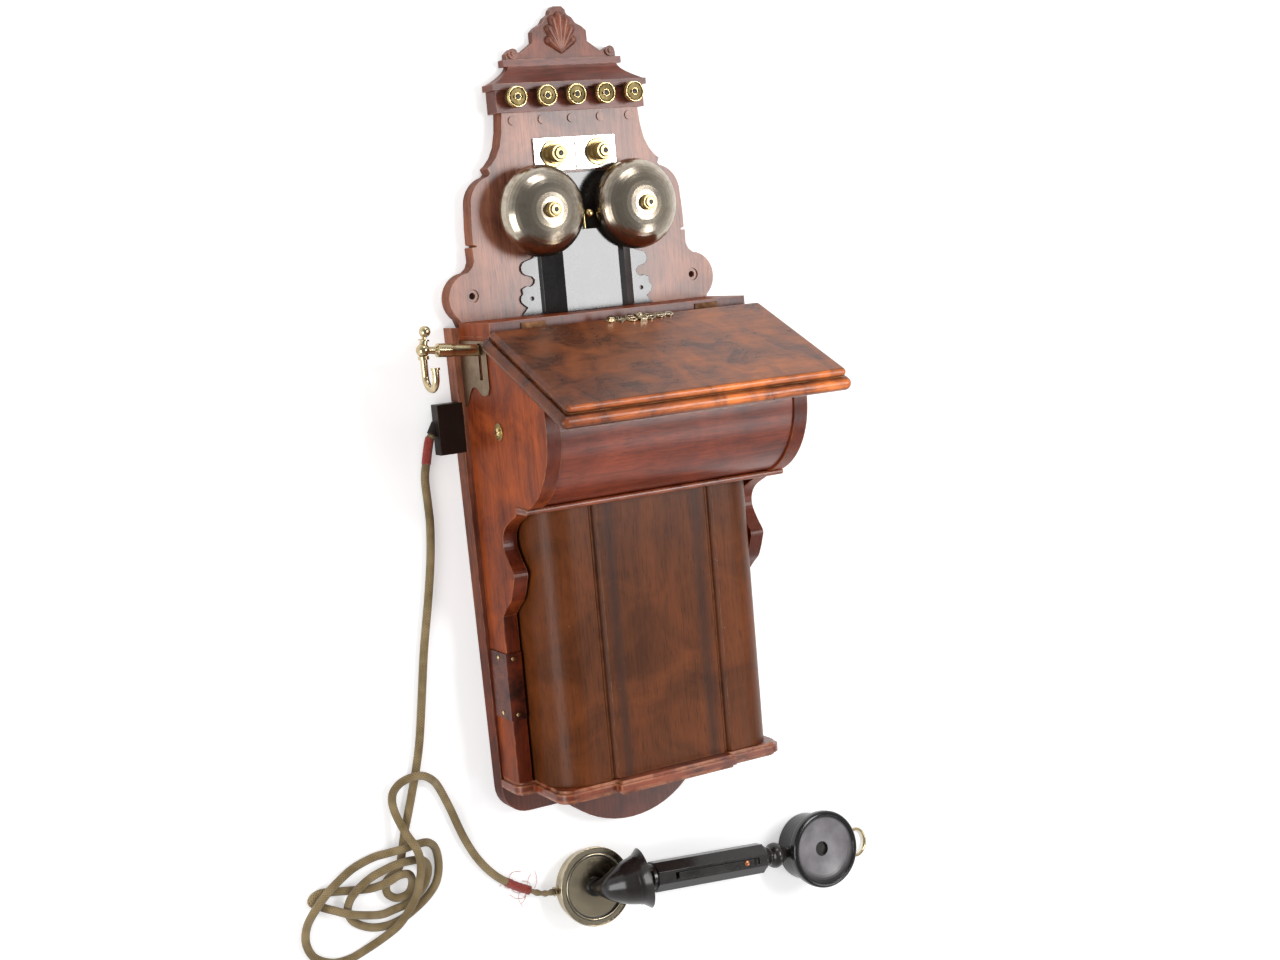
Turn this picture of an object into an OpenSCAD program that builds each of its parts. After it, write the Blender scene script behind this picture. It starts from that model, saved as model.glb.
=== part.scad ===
// Wall telephone with a magneto, a writing-desk lid and a separate handset.
// The set lies on its back: X to the right, Y towards the crest, Z out of the backboard.
// The origin is midway between the two wall-screw holes, on the back face.

/* [Backboard] */
// Thickness of the backboard
board_t = 17; // [12:0.5:22]
// Width of the lower board at its top corners
lower_top_w = 276; // [274:1:284]
// Width of the lower board at its foot
lower_foot_w = 264; // [262:1:272]
// Height of the lower board's top corners
lower_top_y = -26; // [-30:1:-24]
// Bottom edge of the lower board
board_foot_y = -474; // [-490:1:-470]
// Radius of the lower board's bottom corners
foot_corner_r = 25; // [10:1:35]
// Half width of the tongue under the shelf
tongue_hw = 61; // [50:1:70]
// Depth of the tongue below the bottom edge
tongue_drop = 30.5; // [24:0.5:40]
// Distance between the two wall-screw holes
wall_hole_gap = 228; // [224:1:232]
// Radius of each wall-screw hole
wall_hole_r = 3; // [2:0.25:4]
// Radius of the ear round each wall-screw hole
ear_r = 23; // [20:0.5:26]
// Top edge of the backboard, where the cornice starts
board_top_y = 158; // [156:1:164]

/* [Cornice] */
// Half width of the block that carries the line terminals
block_hw = 75; // [72:1:80]
// Height of the terminal block
block_h = 20; // [18:0.5:24]
// How far the terminal block stands out from the wall
block_d = 20; // [18:0.5:24]
// Height of the flat fillet on top of the block
fillet_h = 5.5; // [4:0.5:7]
// How far the fillet stands out beyond the block on each side
fillet_out = 3; // [1:0.5:5]
// Height of the sloping and hollow part of the moulding
cove_h = 15.5; // [12:0.5:20]
// Half width of the top cap
cap_hw = 60; // [56:1:64]
// Height of the top cap
cap_h = 6; // [4:0.5:8]
// Depth of the top cap, out from the wall
cap_d = 10.5; // [9:0.5:13]
// Thickness of the crest's flat back
crest_t = 8.5; // [6:0.5:10]
// Height of the carved shell above the pediment
shell_h = 46; // [40:1:50]
// Number of lobes in the carved shell
shell_lobes = 7; // [5:2:9]

/* [Line terminals] */
// Number of line terminals, and of plugs under them
post_count = 5; // [3:1:5]
// Spacing of the line terminals
post_gap = 29.7; // [24:0.1:31]
// Radius of a terminal's cap
post_r = 9.3; // [7:0.1:11]
// Length of a terminal's cap
post_cap_l = 8.4; // [6:0.1:10]
// Length of the neck between cap and block
post_neck_l = 4.3; // [3:0.1:6]
// Radius of a wooden plug
plug_r = 4; // [3:0.1:5]

/* [Lightning arrester] */
// Half width of the bright plate
arrester_hw = 41.6; // [38:0.1:46]
// Height of the bright plate
arrester_h = 29.3; // [26:0.1:32]
// Middle height of the bright plate
arrester_y = 119.5; // [118:0.5:124]
// Thickness of the bright plate
arrester_t = 2; // [1:0.25:3]
// Half distance between the two clamping nuts
arrester_nut_x = 22.8; // [20:0.1:26]
// Radius of a clamping nut
arrester_nut_r = 7.5; // [6:0.1:9]
// Length of a clamping nut
arrester_nut_l = 14; // [10:0.5:18]

/* [Ringer] */
// Thickness of the black base plate
ringer_plate_t = 2; // [1:0.25:3]
// Half distance between the gongs' axes
gong_x = 48; // [47:0.25:52]
// Height of the gongs' axes
gong_y = 69.7; // [66:0.1:74]
// Radius of a gong's rim
gong_r = 41; // [38:0.25:42]
// Depth of a gong
gong_h = 23.2; // [20:0.1:26]
// Wall of a gong
gong_wall = 2.3; // [1.5:0.1:3]
// Distance of the gong rims from the wall
gong_rim_z = 34.8; // [34.5:0.1:38]
// Radius of a gong nut
gong_nut_r = 6.5; // [5:0.1:8]
// Length of a gong nut
gong_nut_l = 7.4; // [5:0.1:9]
// Radius of the clapper's ball
clapper_ball_r = 4; // [3:0.1:4.5]
// Height of the clapper's pivot
clapper_pivot_y = 10; // [6:0.5:14]
// Half width of the flat front of the ringer cover
cover_flat_hw = 28.5; // [24:0.5:32]
// Half width of the ringer cover at the base plate
cover_base_hw = 48; // [44:0.5:52]
// Distance of the ringer cover's front from the wall
cover_front_z = 31.7; // [30:0.1:32.5]

/* [Desk box] */
// Half width of the box over its cheeks
box_hw = 130; // [128:0.5:131]
// Thickness of a cheek
cheek_t = 13.7; // [11:0.1:16]
// Thickness of the top board
top_board_t = 12; // [9:0.5:13]
// Top face of the top board
box_top_y = -22.2; // [-24:0.1:-21]
// Front edge of the top board
top_board_z = 79.5; // [76:0.5:80]
// Height of the axis of the cheeks' round front
round_y = -113; // [-116:0.5:-110]
// Distance of that axis from the wall
round_z = 98.2; // [96:0.1:100]
// Radius of the cheeks' round front
round_r = 71.8; // [70.5:0.1:73]
// How far the curved front board lies behind the cheeks
drum_recess = 2; // [1:0.1:3]
// Thickness of the curved front board
drum_t = 8; // [6:0.1:10]
// Top face of the ledge under the curved front
ledge_top_y = -180.5; // [-182:0.1:-180]
// Thickness of the ledge
ledge_t = 5.3; // [4:0.1:6.5]
// Front edge of the ledge
ledge_z = 121.4; // [119:0.1:123]
// Front face of the side rails beside the battery cover
rail_z = 50.7; // [46:0.1:54]

/* [Writing lid] */
// Width of the lid
lid_w = 284; // [278:0.2:288]
// Length of the lid along its slope
lid_l = 156; // [150:0.1:158]
// Slope of the lid
lid_slope = 24.2; // [23.5:0.1:26.5]
// Thickness of the lid's upper board
lid_upper_t = 8; // [6:0.25:9]
// Thickness of the lid's lower moulding
lid_lower_t = 12; // [11:0.25:12.5]
// How far the upper board is set back from the moulding
lid_setback = 5.25; // [3:0.25:6]
// Height of the lid's rear top edge
lid_rear_y = -25.9; // [-26.2:0.1:-25.5]
// Distance of the lid's rear top edge from the wall
lid_rear_z = 88.1; // [88:0.1:89]
// Half distance between the two lid hinges
hinge_x = 88; // [70:1:100]
// Length of one hinge knuckle
knuckle_l = 8; // [7:0.5:11]

/* [Battery box] */
// Gap between the battery cover and each cheek
cover_side_gap = 3.3; // [2:0.1:6]
// Front face of the battery cover
cover_z = 103; // [98:0.5:106]
// Radius of the battery cover's front corners
cover_corner_r = 31.7; // [26:0.1:36]
// Wall of the battery cover
cover_wall = 9.5; // [8:0.1:11]
// Distance of the V grooves from the middle
groove_x = 59.6; // [54:0.1:64]
// Depth of the V grooves
groove_d = 4.2; // [2:0.1:5]
// Top face of the bottom shelf
shelf_top_y = -436.6; // [-440:0.1:-434]
// Thickness of the bottom shelf
shelf_t = 12; // [9:0.5:14]
// Front of the shelf's middle part
shelf_mid_z = 115; // [110:0.5:118]
// Front of the shelf's side parts
shelf_side_z = 107.7; // [105:0.1:109]
// Half width of the shelf's middle part
shelf_mid_hw = 60.5; // [52:0.5:64]
// Half width of the shelf's side parts
shelf_side_hw = 116; // [115:0.5:120]
// Width of one battery cell
cell_w = 82; // [76:1:86]
// Thickness of one battery cell
cell_d = 66; // [60:1:70]
// Height of one battery cell
cell_h = 150; // [130:1:170]

/* [Magneto] */
// Height of the crank's axis
crank_y = -116; // [-118:0.5:-114]
// Distance of the crank's axis from the wall
crank_z = 80.2; // [79.6:0.1:81]
// Teeth on the large gear
gear_teeth = 48; // [44:4:48]
// Teeth on the pinion
pinion_teeth = 12; // [11:1:12]
// Gear module, which is the pitch diameter over the teeth
gear_module = 1.5; // [1.4:0.05:1.5]
// Radius of the crank's shaft
crank_shaft_r = 4; // [3:0.1:5]
// Radial running clearance of shafts and pins
run_gap = 0.05; // [0.02:0.01:0.1]
// Length of the crank's arm
crank_arm_l = 45; // [38:0.5:50]
// Radius of the magneto's armature
armature_r = 15; // [13:0.25:15.5]
// Half length of the magneto's magnets
magnet_hl = 50; // [44:0.5:52]
// Thickness of the magnet bars
magnet_t = 10; // [8:0.25:11]

/* [Switch hook] */
// Distance of the hook's rod from the wall
hook_z = 57; // [56:0.25:58]
// Pivot of the hook lever, across
hook_pivot_x = -63.3; // [-66:0.1:-61]
// Pivot of the hook lever, height
hook_pivot_y = -52.8; // [-54:0.1:-52]
// How far the hook's rod rises outwards at rest
hook_rise = 6; // [5:0.25:7]
// Radius of the hook's rod
hook_rod_r = 5.2; // [4.5:0.1:5.6]
// Distance of the hook's ball from its pivot
hook_reach = 121; // [118:0.25:124]
// Radius of the J-shaped wire
hook_wire_r = 3; // [2.5:0.1:3.4]
// Radius of the J's bend, at the wire's middle
hook_bend_r = 11.4; // [10:0.1:13]
// Thickness of the hook's blade
blade_t = 4.2; // [3:0.1:4.6]

/* [Side fittings] */
// Thickness of thin metal plates
plate_t = 1.5; // [1:0.1:2]
// Outer side of the cord terminal block
cord_block_x = -159; // [-164:0.5:-154]
// Top edge of the cord terminal block
cord_block_top = -92; // [-94:0.5:-90]
// Bottom edge of the cord terminal block
cord_block_foot = -137; // [-140:0.5:-134]
// Thickness of the cord terminal block
cord_block_t = 13; // [11:0.5:15]
// Height of the wear plate
wear_h = 61; // [50:0.5:70]
// Height of the wear plate's foot above the shelf
wear_above = 58.6; // [50:0.1:70]

/* [Handset] */
// Distance between the centres of the transmitter and the receiver
handset_l = 249.2; // [244:0.1:254]
// Radius of the transmitter's flange
transmitter_r = 37; // [34:0.25:39]
// Height of the transmitter
transmitter_h = 17; // [14:0.25:20]
// Radius of the horn's mouth
horn_mouth_r = 28.5; // [25:0.25:31]
// Wall of the horn
horn_wall = 1.8; // [1.2:0.1:2.2]
// Handle width across flats
handle_w = 28; // [26:0.25:29]
// Start of the handle, from the transmitter's centre
handle_u0 = 59; // [57:0.5:62]
// Length of the turned neck between handle and receiver
neck_l = 34.7; // [34:0.1:37]
// Height of the handle's axis in the handset
handle_axis_h = 19.5; // [18:0.25:20]
// Greatest length of the talk lever
talk_l = 88; // [76:0.5:94]
// Width of the talk lever
talk_w = 5.6; // [4.5:0.1:6.5]
// Radius of the receiver's cap
ear_r_out = 38; // [35:0.25:40]
// Height of the receiver over its cap
receiver_h = 37; // [36:0.25:39]
// Radius of the hole in the receiver's cap
ear_hole_r = 7.2; // [5:0.1:9]
// Radius of the hanging ring, at the wire's middle
ring_r = 13.4; // [11:0.1:14]
// Radius of the hanging ring's wire
ring_wire_r = 1.7; // [1.2:0.05:1.9]

/* [Cord] */
// Radius of the cord
cord_r = 3.75; // [3:0.05:3.8]

/* [Hidden] */
// Gap between pieces of different bodies
part_gap = 0.3;
// Gap under the lid
lid_gap = 0.4;
eps = 0.01;

cheek_inner = box_hw - cheek_t;
cover_hw = cheek_inner - cover_side_gap;
hinge_rot = [lid_slope, 0, 0];
lid_t = lid_upper_t + lid_lower_t;
// Hinge axis in the lid's own frame: height under the top face, and place behind the rear edge
hinge_n = -lid_upper_t + 1;
hinge_s = -1;
barrel_r = 2.1;
barrel_pin_r = 1.1;
hinge_y = lid_rear_y + hinge_n * cos(lid_slope) - hinge_s * sin(lid_slope);
hinge_z = lid_rear_z + hinge_n * sin(lid_slope) + hinge_s * cos(lid_slope);
// Height of the lid's underside above the box at distance z from the wall
function under_lid_y(z, gap = lid_gap) =
  let (n = -(lid_t + gap), s = (z - lid_rear_z - n * sin(lid_slope)) / cos(lid_slope))
  lid_rear_y + n * cos(lid_slope) - s * sin(lid_slope);

cheek_front_z = round_z + round_r;
ledge_foot_y = ledge_top_y - ledge_t;
ledge_return_z = 100;
shelf_foot_y = shelf_top_y - shelf_t;
wear_foot_y = shelf_top_y + wear_above;
wear_top_y = wear_foot_y + wear_h;

pinion_z = crank_z - gear_module * (gear_teeth + pinion_teeth) / 2;
gear_ratio = gear_teeth / pinion_teeth;
frame_plate_t = 4;
frame_x = magnet_hl + 7;
gear_x = frame_x + frame_plate_t + 3;
gear_t = 6;

gong_top_z = gong_rim_z + gong_h;
hook_slot_hw = blade_t / 2 + 0.8;
handset_at = [-48.1, -563.2];
handset_turn = -4.9;
handset_roll = -8;
handset_lift = 5.2;
horn_turn = 8.5;
ring_turn = -5;

// Points on an arc, from one angle to another
function arc(c, r, a0, a1, n) =
  [for (i = [0:n]) let (a = a0 + (a1 - a0) * i / n) c + r * [cos(a), sin(a)]];

// Smooth curve through chosen points
function spline_at(a, b, c, d, t) =
  0.5 * (2 * b + (c - a) * t + (2 * a - 5 * b + 4 * c - d) * t * t
    + (3 * b - a - 3 * c + d) * t * t * t);
function smooth(p, steps) =
  let (n = len(p))
  [for (i = [0:n - 2], k = [0:steps - 1])
     spline_at(p[max(i - 1, 0)], p[i], p[i + 1], p[min(i + 2, n - 1)], k / steps),
   p[n - 1]];

// Direction of a route at one of its points
function unit(v) = v / norm(v);
function heading(p, i) = unit(p[min(i + 1, len(p) - 1)] - p[max(i - 1, 0)]);

// Ring of points square to a route, with its first point to the route's side
function ring_at(c, dir, r, n) =
  let (side = unit(cross(dir, [0, 0, 1])), up = cross(side, dir))
  [for (k = [0:n - 1]) c + r * (cos(360 * k / n) * side + sin(360 * k / n) * up)];

// Least gap of a tube to itself, between points that are further apart along it
function self_gap(p, r, skip) =
  min([for (i = [0:len(p) - 1 - skip], j = [i + skip:len(p) - 1]) norm(p[i] - p[j])]) - 2 * r;

// Outline in the YZ plane, drawn out along X
module along_x(x0, x1) translate([x0, 0, 0]) rotate([90, 0, 90]) linear_extrude(x1 - x0) children();

// Outline in the XZ plane, drawn out along Y
module along_y(y0, y1) translate([0, y1, 0]) rotate([90, 0, 0]) linear_extrude(y1 - y0) children();

module both_sides() {
  children();
  mirror([1, 0, 0]) children();
}

module box(lo, hi) translate(lo) cube(hi - lo);

module rod_x(x0, x1, r, fn = 48) translate([x0, 0, 0]) rotate([0, 90, 0])
  cylinder(h = x1 - x0, r = r, $fn = fn);

// Board with rounded edges all round: width along X, thickness down from Y = 0, length along Z
module bullnose_board(w, t, l) {
  r = t / 2;
  translate([-w / 2 + r, -t, r]) cube([w - t, t, l - t]);
  both_sides() translate([w / 2 - r, -r, r]) cylinder(h = l - t, r = r, $fn = 32);
  for (z = [r, l - r]) {
    translate([0, -r, z]) rod_x(-w / 2 + r, w / 2 - r, r, 32);
    both_sides() translate([w / 2 - r, -r, z]) sphere(r = r, $fn = 32);
  }
}

// Half outline of the backboard, from the top down the right side
function board_half() = concat(
  [[69.5, board_top_y], [71, 142], [74, 129], [78.5, 120], [84, 113.5], [88, 110.5], [86, 106]],
  arc([82, 79], 25.5, 76, 6, 8),
  [[108.8, 60], [109, 45], [105.5, 43.8], [105.5, 42.6], [110, 42.4], [109.6, 30], [112, 24.5]],
  arc([wall_hole_gap / 2, -2], ear_r, 84, -50, 14),
  [[126, lower_top_y - 1], [lower_top_w / 2, lower_top_y]],
  arc([lower_foot_w / 2 - foot_corner_r, board_foot_y + foot_corner_r], foot_corner_r, 0, -90, 8),
  [[tongue_hw, board_foot_y], [tongue_hw, board_foot_y - 7]]
);

// Rounded bottom edge of the tongue, from right to left
function tongue_arc() =
  let (sag = tongue_drop - 7, r = (tongue_hw * tongue_hw + sag * sag) / (2 * sag),
       half = asin(tongue_hw / r))
  arc([0, board_foot_y - tongue_drop + r], r, -90 + half, -90 - half, 14);

module backboard() {
  half = board_half();
  last = len(half) - 1;
  color("sienna") difference() {
    linear_extrude(board_t) polygon(concat(
      [for (i = [0:last - 1]) half[i]],
      tongue_arc(),
      [for (i = [last - 1:-1:0]) [-half[i].x, half[i].y]]
    ));
    both_sides() translate([wall_hole_gap / 2, 0, -1]) cylinder(h = board_t + 2, r = wall_hole_r, $fn = 32);
    both_sides() translate([wall_hole_gap / 2, 0, board_t - 1.5])
      cylinder(h = 3, r = wall_hole_r * 2, $fn = 32);
    box([cord_block_x, cord_block_foot, -1], [cord_seat_x, cord_block_top, board_t + 1]);
  }
}

cord_seat_x = -lower_foot_w / 2 - 2;

module cornice_block() {
  color("saddlebrown") difference() {
    box([-block_hw, board_top_y, 0], [block_hw, board_top_y + block_h, block_d]);
    for (i = [0:post_count - 1]) translate([post_x(i), board_top_y + block_h * 0.64, block_d - 6])
      cylinder(h = 7, r = 2, $fn = 24);
  }
}

function post_x(i) = (i - (post_count - 1) / 2) * post_gap;
fillet_y = board_top_y + block_h;
cove_y = fillet_y + fillet_h;
cap_y = cove_y + cove_h;
crest_y = cap_y + cap_h;

// Thin slab of the moulding at one height, standing on the wall
module moulding_slab(y, hw, d) box([-hw, y, 0], [hw, y + eps, d]);

// Hollow part of the moulding: half width and depth at fraction t of its height
function cove_hw(t) = cap_hw + 16 - 5 * t - 16 * sin(90 * t);
function cove_d(t) = cap_d + 10.5 - 12 * sin(90 * t) + 1.2 * t;

module cornice_moulding() {
  steps = 6;
  color("saddlebrown") {
    box([-block_hw - fillet_out, fillet_y, 0], [block_hw + fillet_out, cove_y, block_d + fillet_out * 0.7]);
    for (k = [0:steps - 1]) hull() {
      moulding_slab(cove_y + cove_h * k / steps, cove_hw(k / steps), cove_d(k / steps));
      moulding_slab(cove_y + cove_h * (k + 1) / steps, cove_hw((k + 1) / steps), cove_d((k + 1) / steps));
    }
    box([-cap_hw, cap_y, 0], [cap_hw, crest_y, cap_d]);
  }
}

// Carved lobe of the shell, from the middle of its foot towards an angle
module shell_lobe(angle, reach, fat) {
  hull() {
    translate([0, crest_y + 6, crest_t]) sphere(r = 2.2, $fn = 12);
    translate([reach * sin(angle) * 0.62, crest_y + 6 + reach * cos(angle), crest_t])
      sphere(r = fat, $fn = 14);
  }
}

module crest_carving() {
  half = [[55.6, 0], [55.6, 5], [50, 9.5], [44, 6.5], [40, 6], [27.5, 14.5], [27.5, 24],
    [23, 28], [17, 31], [13.5, 36], [8.5, 39], [7.3, 43], [4, shell_h]];
  color("saddlebrown") {
    translate([0, crest_y, 0]) linear_extrude(crest_t)
      polygon(concat(half, [for (i = [len(half) - 1:-1:0]) [-half[i].x, half[i].y]]));
    both_sides() translate([49.5, crest_y + 5.2, crest_t]) cylinder(h = 2, r = 4.6, $fn = 32);
    both_sides() translate([49.5, crest_y + 5.2, crest_t + 2]) cylinder(h = 1.4, r = 2, $fn = 24);
    for (i = [0:shell_lobes - 1]) {
      t = i / (shell_lobes - 1) * 2 - 1;
      shell_lobe(62 * t, 31 - 10 * t * t, 4.6);
    }
  }
}

module line_terminals() {
  color("goldenrod") for (i = [0:post_count - 1])
    translate([post_x(i), board_top_y + block_h * 0.64, block_d]) difference() {
      union() {
        translate([0, 0, -5]) cylinder(h = 5, r = 1.95, $fn = 24);
        cylinder(h = post_neck_l, r = 4.2, $fn = 32);
        translate([0, 0, post_neck_l]) cylinder(h = post_cap_l, r = post_r, $fn = 48);
      }
      translate([-post_r / 2, -1, post_neck_l + post_cap_l - 1.8]) cube([post_r, 2, 3]);
      translate([0, 0, post_neck_l + post_cap_l - 1]) difference() {
        cylinder(h = 2, r = post_r - 1.2, $fn = 48);
        translate([0, 0, -1]) cylinder(h = 4, r = post_r - 2.2, $fn = 48);
      }
    }
}

module post_plugs() {
  color("sienna") for (i = [0:post_count - 1])
    translate([post_x(i), board_top_y - 7, board_t]) cylinder(h = 1.2, r = plug_r, $fn = 32);
}

module arrester_plate() {
  color("silver") difference() {
    box([-arrester_hw, arrester_y - arrester_h / 2, board_t],
      [arrester_hw, arrester_y + arrester_h / 2, board_t + arrester_t]);
    both_sides() translate([arrester_nut_x, arrester_y, board_t - 1])
      cylinder(h = arrester_t + 2, r = 3, $fn = 32);
    translate([-0.6, arrester_y - arrester_h / 2 - 1, board_t - 1])
      cube([1.2, arrester_h + 2, arrester_t + 2]);
  }
}

module arrester_nuts() {
  base_z = board_t + arrester_t;
  color("goldenrod") both_sides() translate([arrester_nut_x, arrester_y, 0]) difference() {
    union() {
      translate([0, 0, board_t]) cylinder(h = arrester_t, r = 2.9, $fn = 32);
      translate([0, 0, base_z]) cylinder(h = 1.5, r = 11.9, $fn = 48);
      translate([0, 0, base_z + 1.5]) cylinder(h = 2, r = 8.6, $fn = 48);
      translate([0, 0, base_z + 3.5]) cylinder(h = arrester_nut_l - 3.5, r = arrester_nut_r, $fn = 48);
      translate([0, 0, base_z + arrester_nut_l]) cylinder(h = 2, r = 5, $fn = 32);
    }
    translate([0, 0, base_z + arrester_nut_l + 0.8]) cylinder(h = 2, r = 2.4, $fn = 24);
  }
}

ringer_front_z = board_t + ringer_plate_t;
ringer_cover_y0 = box_top_y + part_gap;
ringer_cover_y1 = gong_y - 19;

// Half outline of the scalloped base plate, from the bottom up the right side
function ringer_half() = concat(
  [[68, -21.8], [61.8, -15.2]], arc([62.8, -7.5], 5.5, -60, 60, 4), [[66, 1.9]],
  arc([58, 9], 5.5, -60, -180, 4), [[54.9, 12]], arc([59, 20], 6.5, -70, 70, 5),
  [[52.8, 28.5], [46, 40], [34, 66], [34, 98], [30, 102.4]]
);

module ringer_base() {
  half = ringer_half();
  color("black") difference() {
    translate([0, 0, board_t]) linear_extrude(ringer_plate_t)
      polygon(concat(half, [for (i = [len(half) - 1:-1:0]) [-half[i].x, half[i].y]]));
    both_sides() translate([56.8, -7.4, board_t - 1]) cylinder(h = ringer_plate_t + 2, r = 1.8, $fn = 24);
  }
}

// Cross-section of the ringer cover, inset by its wall
module cover_section(inset) {
  base = cover_base_hw - inset;
  flat_hw = cover_flat_hw - inset * 0.6;
  top = cover_front_z - inset;
  polygon([[-base, ringer_front_z], [base, ringer_front_z], [base - 2, ringer_front_z + 3],
    [flat_hw + 7, top - 2.4], [flat_hw, top], [-flat_hw, top], [-flat_hw - 7, top - 2.4],
    [-base + 2, ringer_front_z + 3]]);
}

module ringer_cover() {
  color("black") difference() {
    along_y(ringer_cover_y0, ringer_cover_y1) cover_section(0);
    along_y(ringer_cover_y0 + 1.5, ringer_cover_y1 - 1.5) difference() {
      cover_section(1.5);
      translate([-100, 0]) square([200, ringer_front_z - eps]);
    }
    box([-8, ringer_cover_y1 - 3, ringer_front_z - 1], [8, ringer_cover_y1 + 1, ringer_front_z + 9]);
  }
}

coil_x = 17;
coil_z = ringer_front_z + 5.7;

module ringer_coils() {
  color("darkred") both_sides() {
    translate([coil_x, clapper_pivot_y + 33, coil_z]) rotate([90, 0, 0]) cylinder(h = 24, r = 5.2, $fn = 32);
    translate([coil_x, clapper_pivot_y + 9, coil_z]) rotate([90, 0, 0]) cylinder(h = 2.5, r = 2.2, $fn = 24);
  }
  color("gray") box([-coil_x - 5, clapper_pivot_y + 33, ringer_front_z],
    [-6, clapper_pivot_y + 36, ringer_front_z + 10]);
  color("gray") box([6, clapper_pivot_y + 33, ringer_front_z],
    [coil_x + 5, clapper_pivot_y + 36, ringer_front_z + 10]);
}

module clapper_pin() {
  color("silver") translate([0, clapper_pivot_y, ringer_front_z]) {
    cylinder(h = 10, r = 1.5, $fn = 24);
    cylinder(h = 3, r = 4, $fn = 24);
  }
}

clapper_z = ringer_front_z + 5.7;
clapper_ball_y = gong_y - 5.3;

module clapper() {
  color("gray") difference() {
    union() {
      box([-coil_x - 4, clapper_pivot_y - 2.5, clapper_z - 2.2],
        [coil_x + 4, clapper_pivot_y + 2.5, clapper_z + 2.2]);
      translate([0, clapper_pivot_y, clapper_z - 2.2]) cylinder(h = 4.4, r = 4, $fn = 32);
    }
    translate([0, clapper_pivot_y, clapper_z - 4]) cylinder(h = 8, r = 1.5 + run_gap, $fn = 24);
  }
  color("goldenrod") {
    translate([0, clapper_pivot_y + 2.5, clapper_z]) rotate([-90, 0, 0])
      cylinder(h = clapper_ball_y - clapper_pivot_y - 2.5, r = 1, $fn = 24);
    translate([0, clapper_ball_y, clapper_z]) sphere(r = 1, $fn = 24);
    translate([0, clapper_ball_y, clapper_z]) cylinder(h = gong_rim_z - clapper_z, r = 1, $fn = 24);
    translate([0, clapper_ball_y, gong_rim_z]) sphere(r = clapper_ball_r, $fn = 32);
  }
}

// Profile of a gong's outer or inner face
function gong_profile(r, h, n) =
  [for (i = [0:n]) let (a = 90 * i / n) [r * pow(cos(a), 0.87), h * pow(sin(a), 0.87)]];

module gong() {
  inner = gong_profile(gong_r - gong_wall, gong_h - gong_wall, 14);
  color("silver") translate([0, gong_y, gong_rim_z]) difference() {
    rotate_extrude($fn = 96) polygon(concat(
      gong_profile(gong_r, gong_h, 14), [for (i = [14:-1:0]) inner[i]]));
    cylinder(h = gong_h * 2, r = 3, $fn = 32);
  }
}

module gong_left() translate([-gong_x, 0, 0]) gong();
module gong_right() translate([gong_x, 0, 0]) gong();

module gong_posts() {
  shoulder = gong_top_z - gong_wall - 0.1;
  color("dimgray") both_sides() translate([gong_x, gong_y, board_t]) {
    cylinder(h = 3, r = 9, $fn = 48);
    cylinder(h = shoulder - board_t, r = 4, $fn = 32);
    translate([0, 0, shoulder - board_t]) cylinder(h = gong_wall + 5.1, r = 2.9, $fn = 32);
  }
}

module gong_nuts() {
  color("goldenrod") both_sides() translate([gong_x, gong_y, gong_top_z]) difference() {
    union() {
      cylinder(h = gong_nut_l * 0.35, r = gong_nut_r + 0.8, $fn = 48);
      cylinder(h = gong_nut_l * 0.8, r = gong_nut_r, $fn = 48);
      cylinder(h = gong_nut_l, r = gong_nut_r - 2, $fn = 48);
    }
    translate([0, 0, -1]) cylinder(h = 6.2, r = 3, $fn = 32);
    translate([0, 0, gong_nut_l - 1.2]) cylinder(h = 3, r = 1.8, $fn = 24);
  }
}

module top_board() {
  color("peru") box([-box_hw, box_top_y - top_board_t, board_t], [box_hw, box_top_y, top_board_z]);
}

// Side of the box: the desk's end, the ledge's notch, the scroll and the straight rail
module cheek_outline() {
  top_y = box_top_y - top_board_t;
  scroll = smooth([[ledge_foot_y, 99], [-190, 94], [-198.5, 76], [-208, 67], [-219, 66], [-231, 73],
    [-241.7, 81.3], [-250, 79], [-258, 75.5], [-267, 70], [-274, 61], [-283, rail_z]], 4);
  polygon(concat(
    [[top_y, board_t], [top_y, top_board_z - 3], [under_lid_y(top_board_z), top_board_z],
     [under_lid_y(cheek_front_z), cheek_front_z], [round_y, cheek_front_z], [round_y, round_z],
     [ledge_top_y, round_z], [ledge_top_y, ledge_return_z], [ledge_foot_y, ledge_return_z]],
    scroll,
    [[shelf_top_y, rail_z], [shelf_top_y, board_t]]
  ));
  intersection() {
    translate([round_y, round_z]) circle(r = round_r, $fn = 96);
    translate([ledge_top_y, round_z]) square([round_y - ledge_top_y, round_r]);
  }
}

module left_cheek() {
  color("sienna") difference() {
    along_x(-box_hw, -cheek_inner) cheek_outline();
    box([-box_hw - 1, hook_pivot_y - 19, hook_z - hook_slot_hw],
      [-cheek_inner + 1, hook_pivot_y + 15, hook_z + hook_slot_hw]);
  }
}

module right_cheek() {
  color("sienna") difference() {
    along_x(cheek_inner, box_hw) cheek_outline();
    translate([0, crank_y, crank_z]) rod_x(cheek_inner - 1, box_hw + 1, crank_shaft_r + 4);
  }
}

module desk_ledge() {
  r = ledge_t / 2;
  mid_y = ledge_top_y - r;
  color("peru") {
    box([-cheek_inner, ledge_foot_y, board_t], [cheek_inner, ledge_top_y, ledge_return_z]);
    box([-box_hw - 1, ledge_foot_y, ledge_return_z], [box_hw + 1, ledge_top_y, ledge_z - r]);
    translate([0, mid_y, ledge_z - r]) rod_x(-box_hw - 1, box_hw + 1, r, 32);
  }
}

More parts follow.
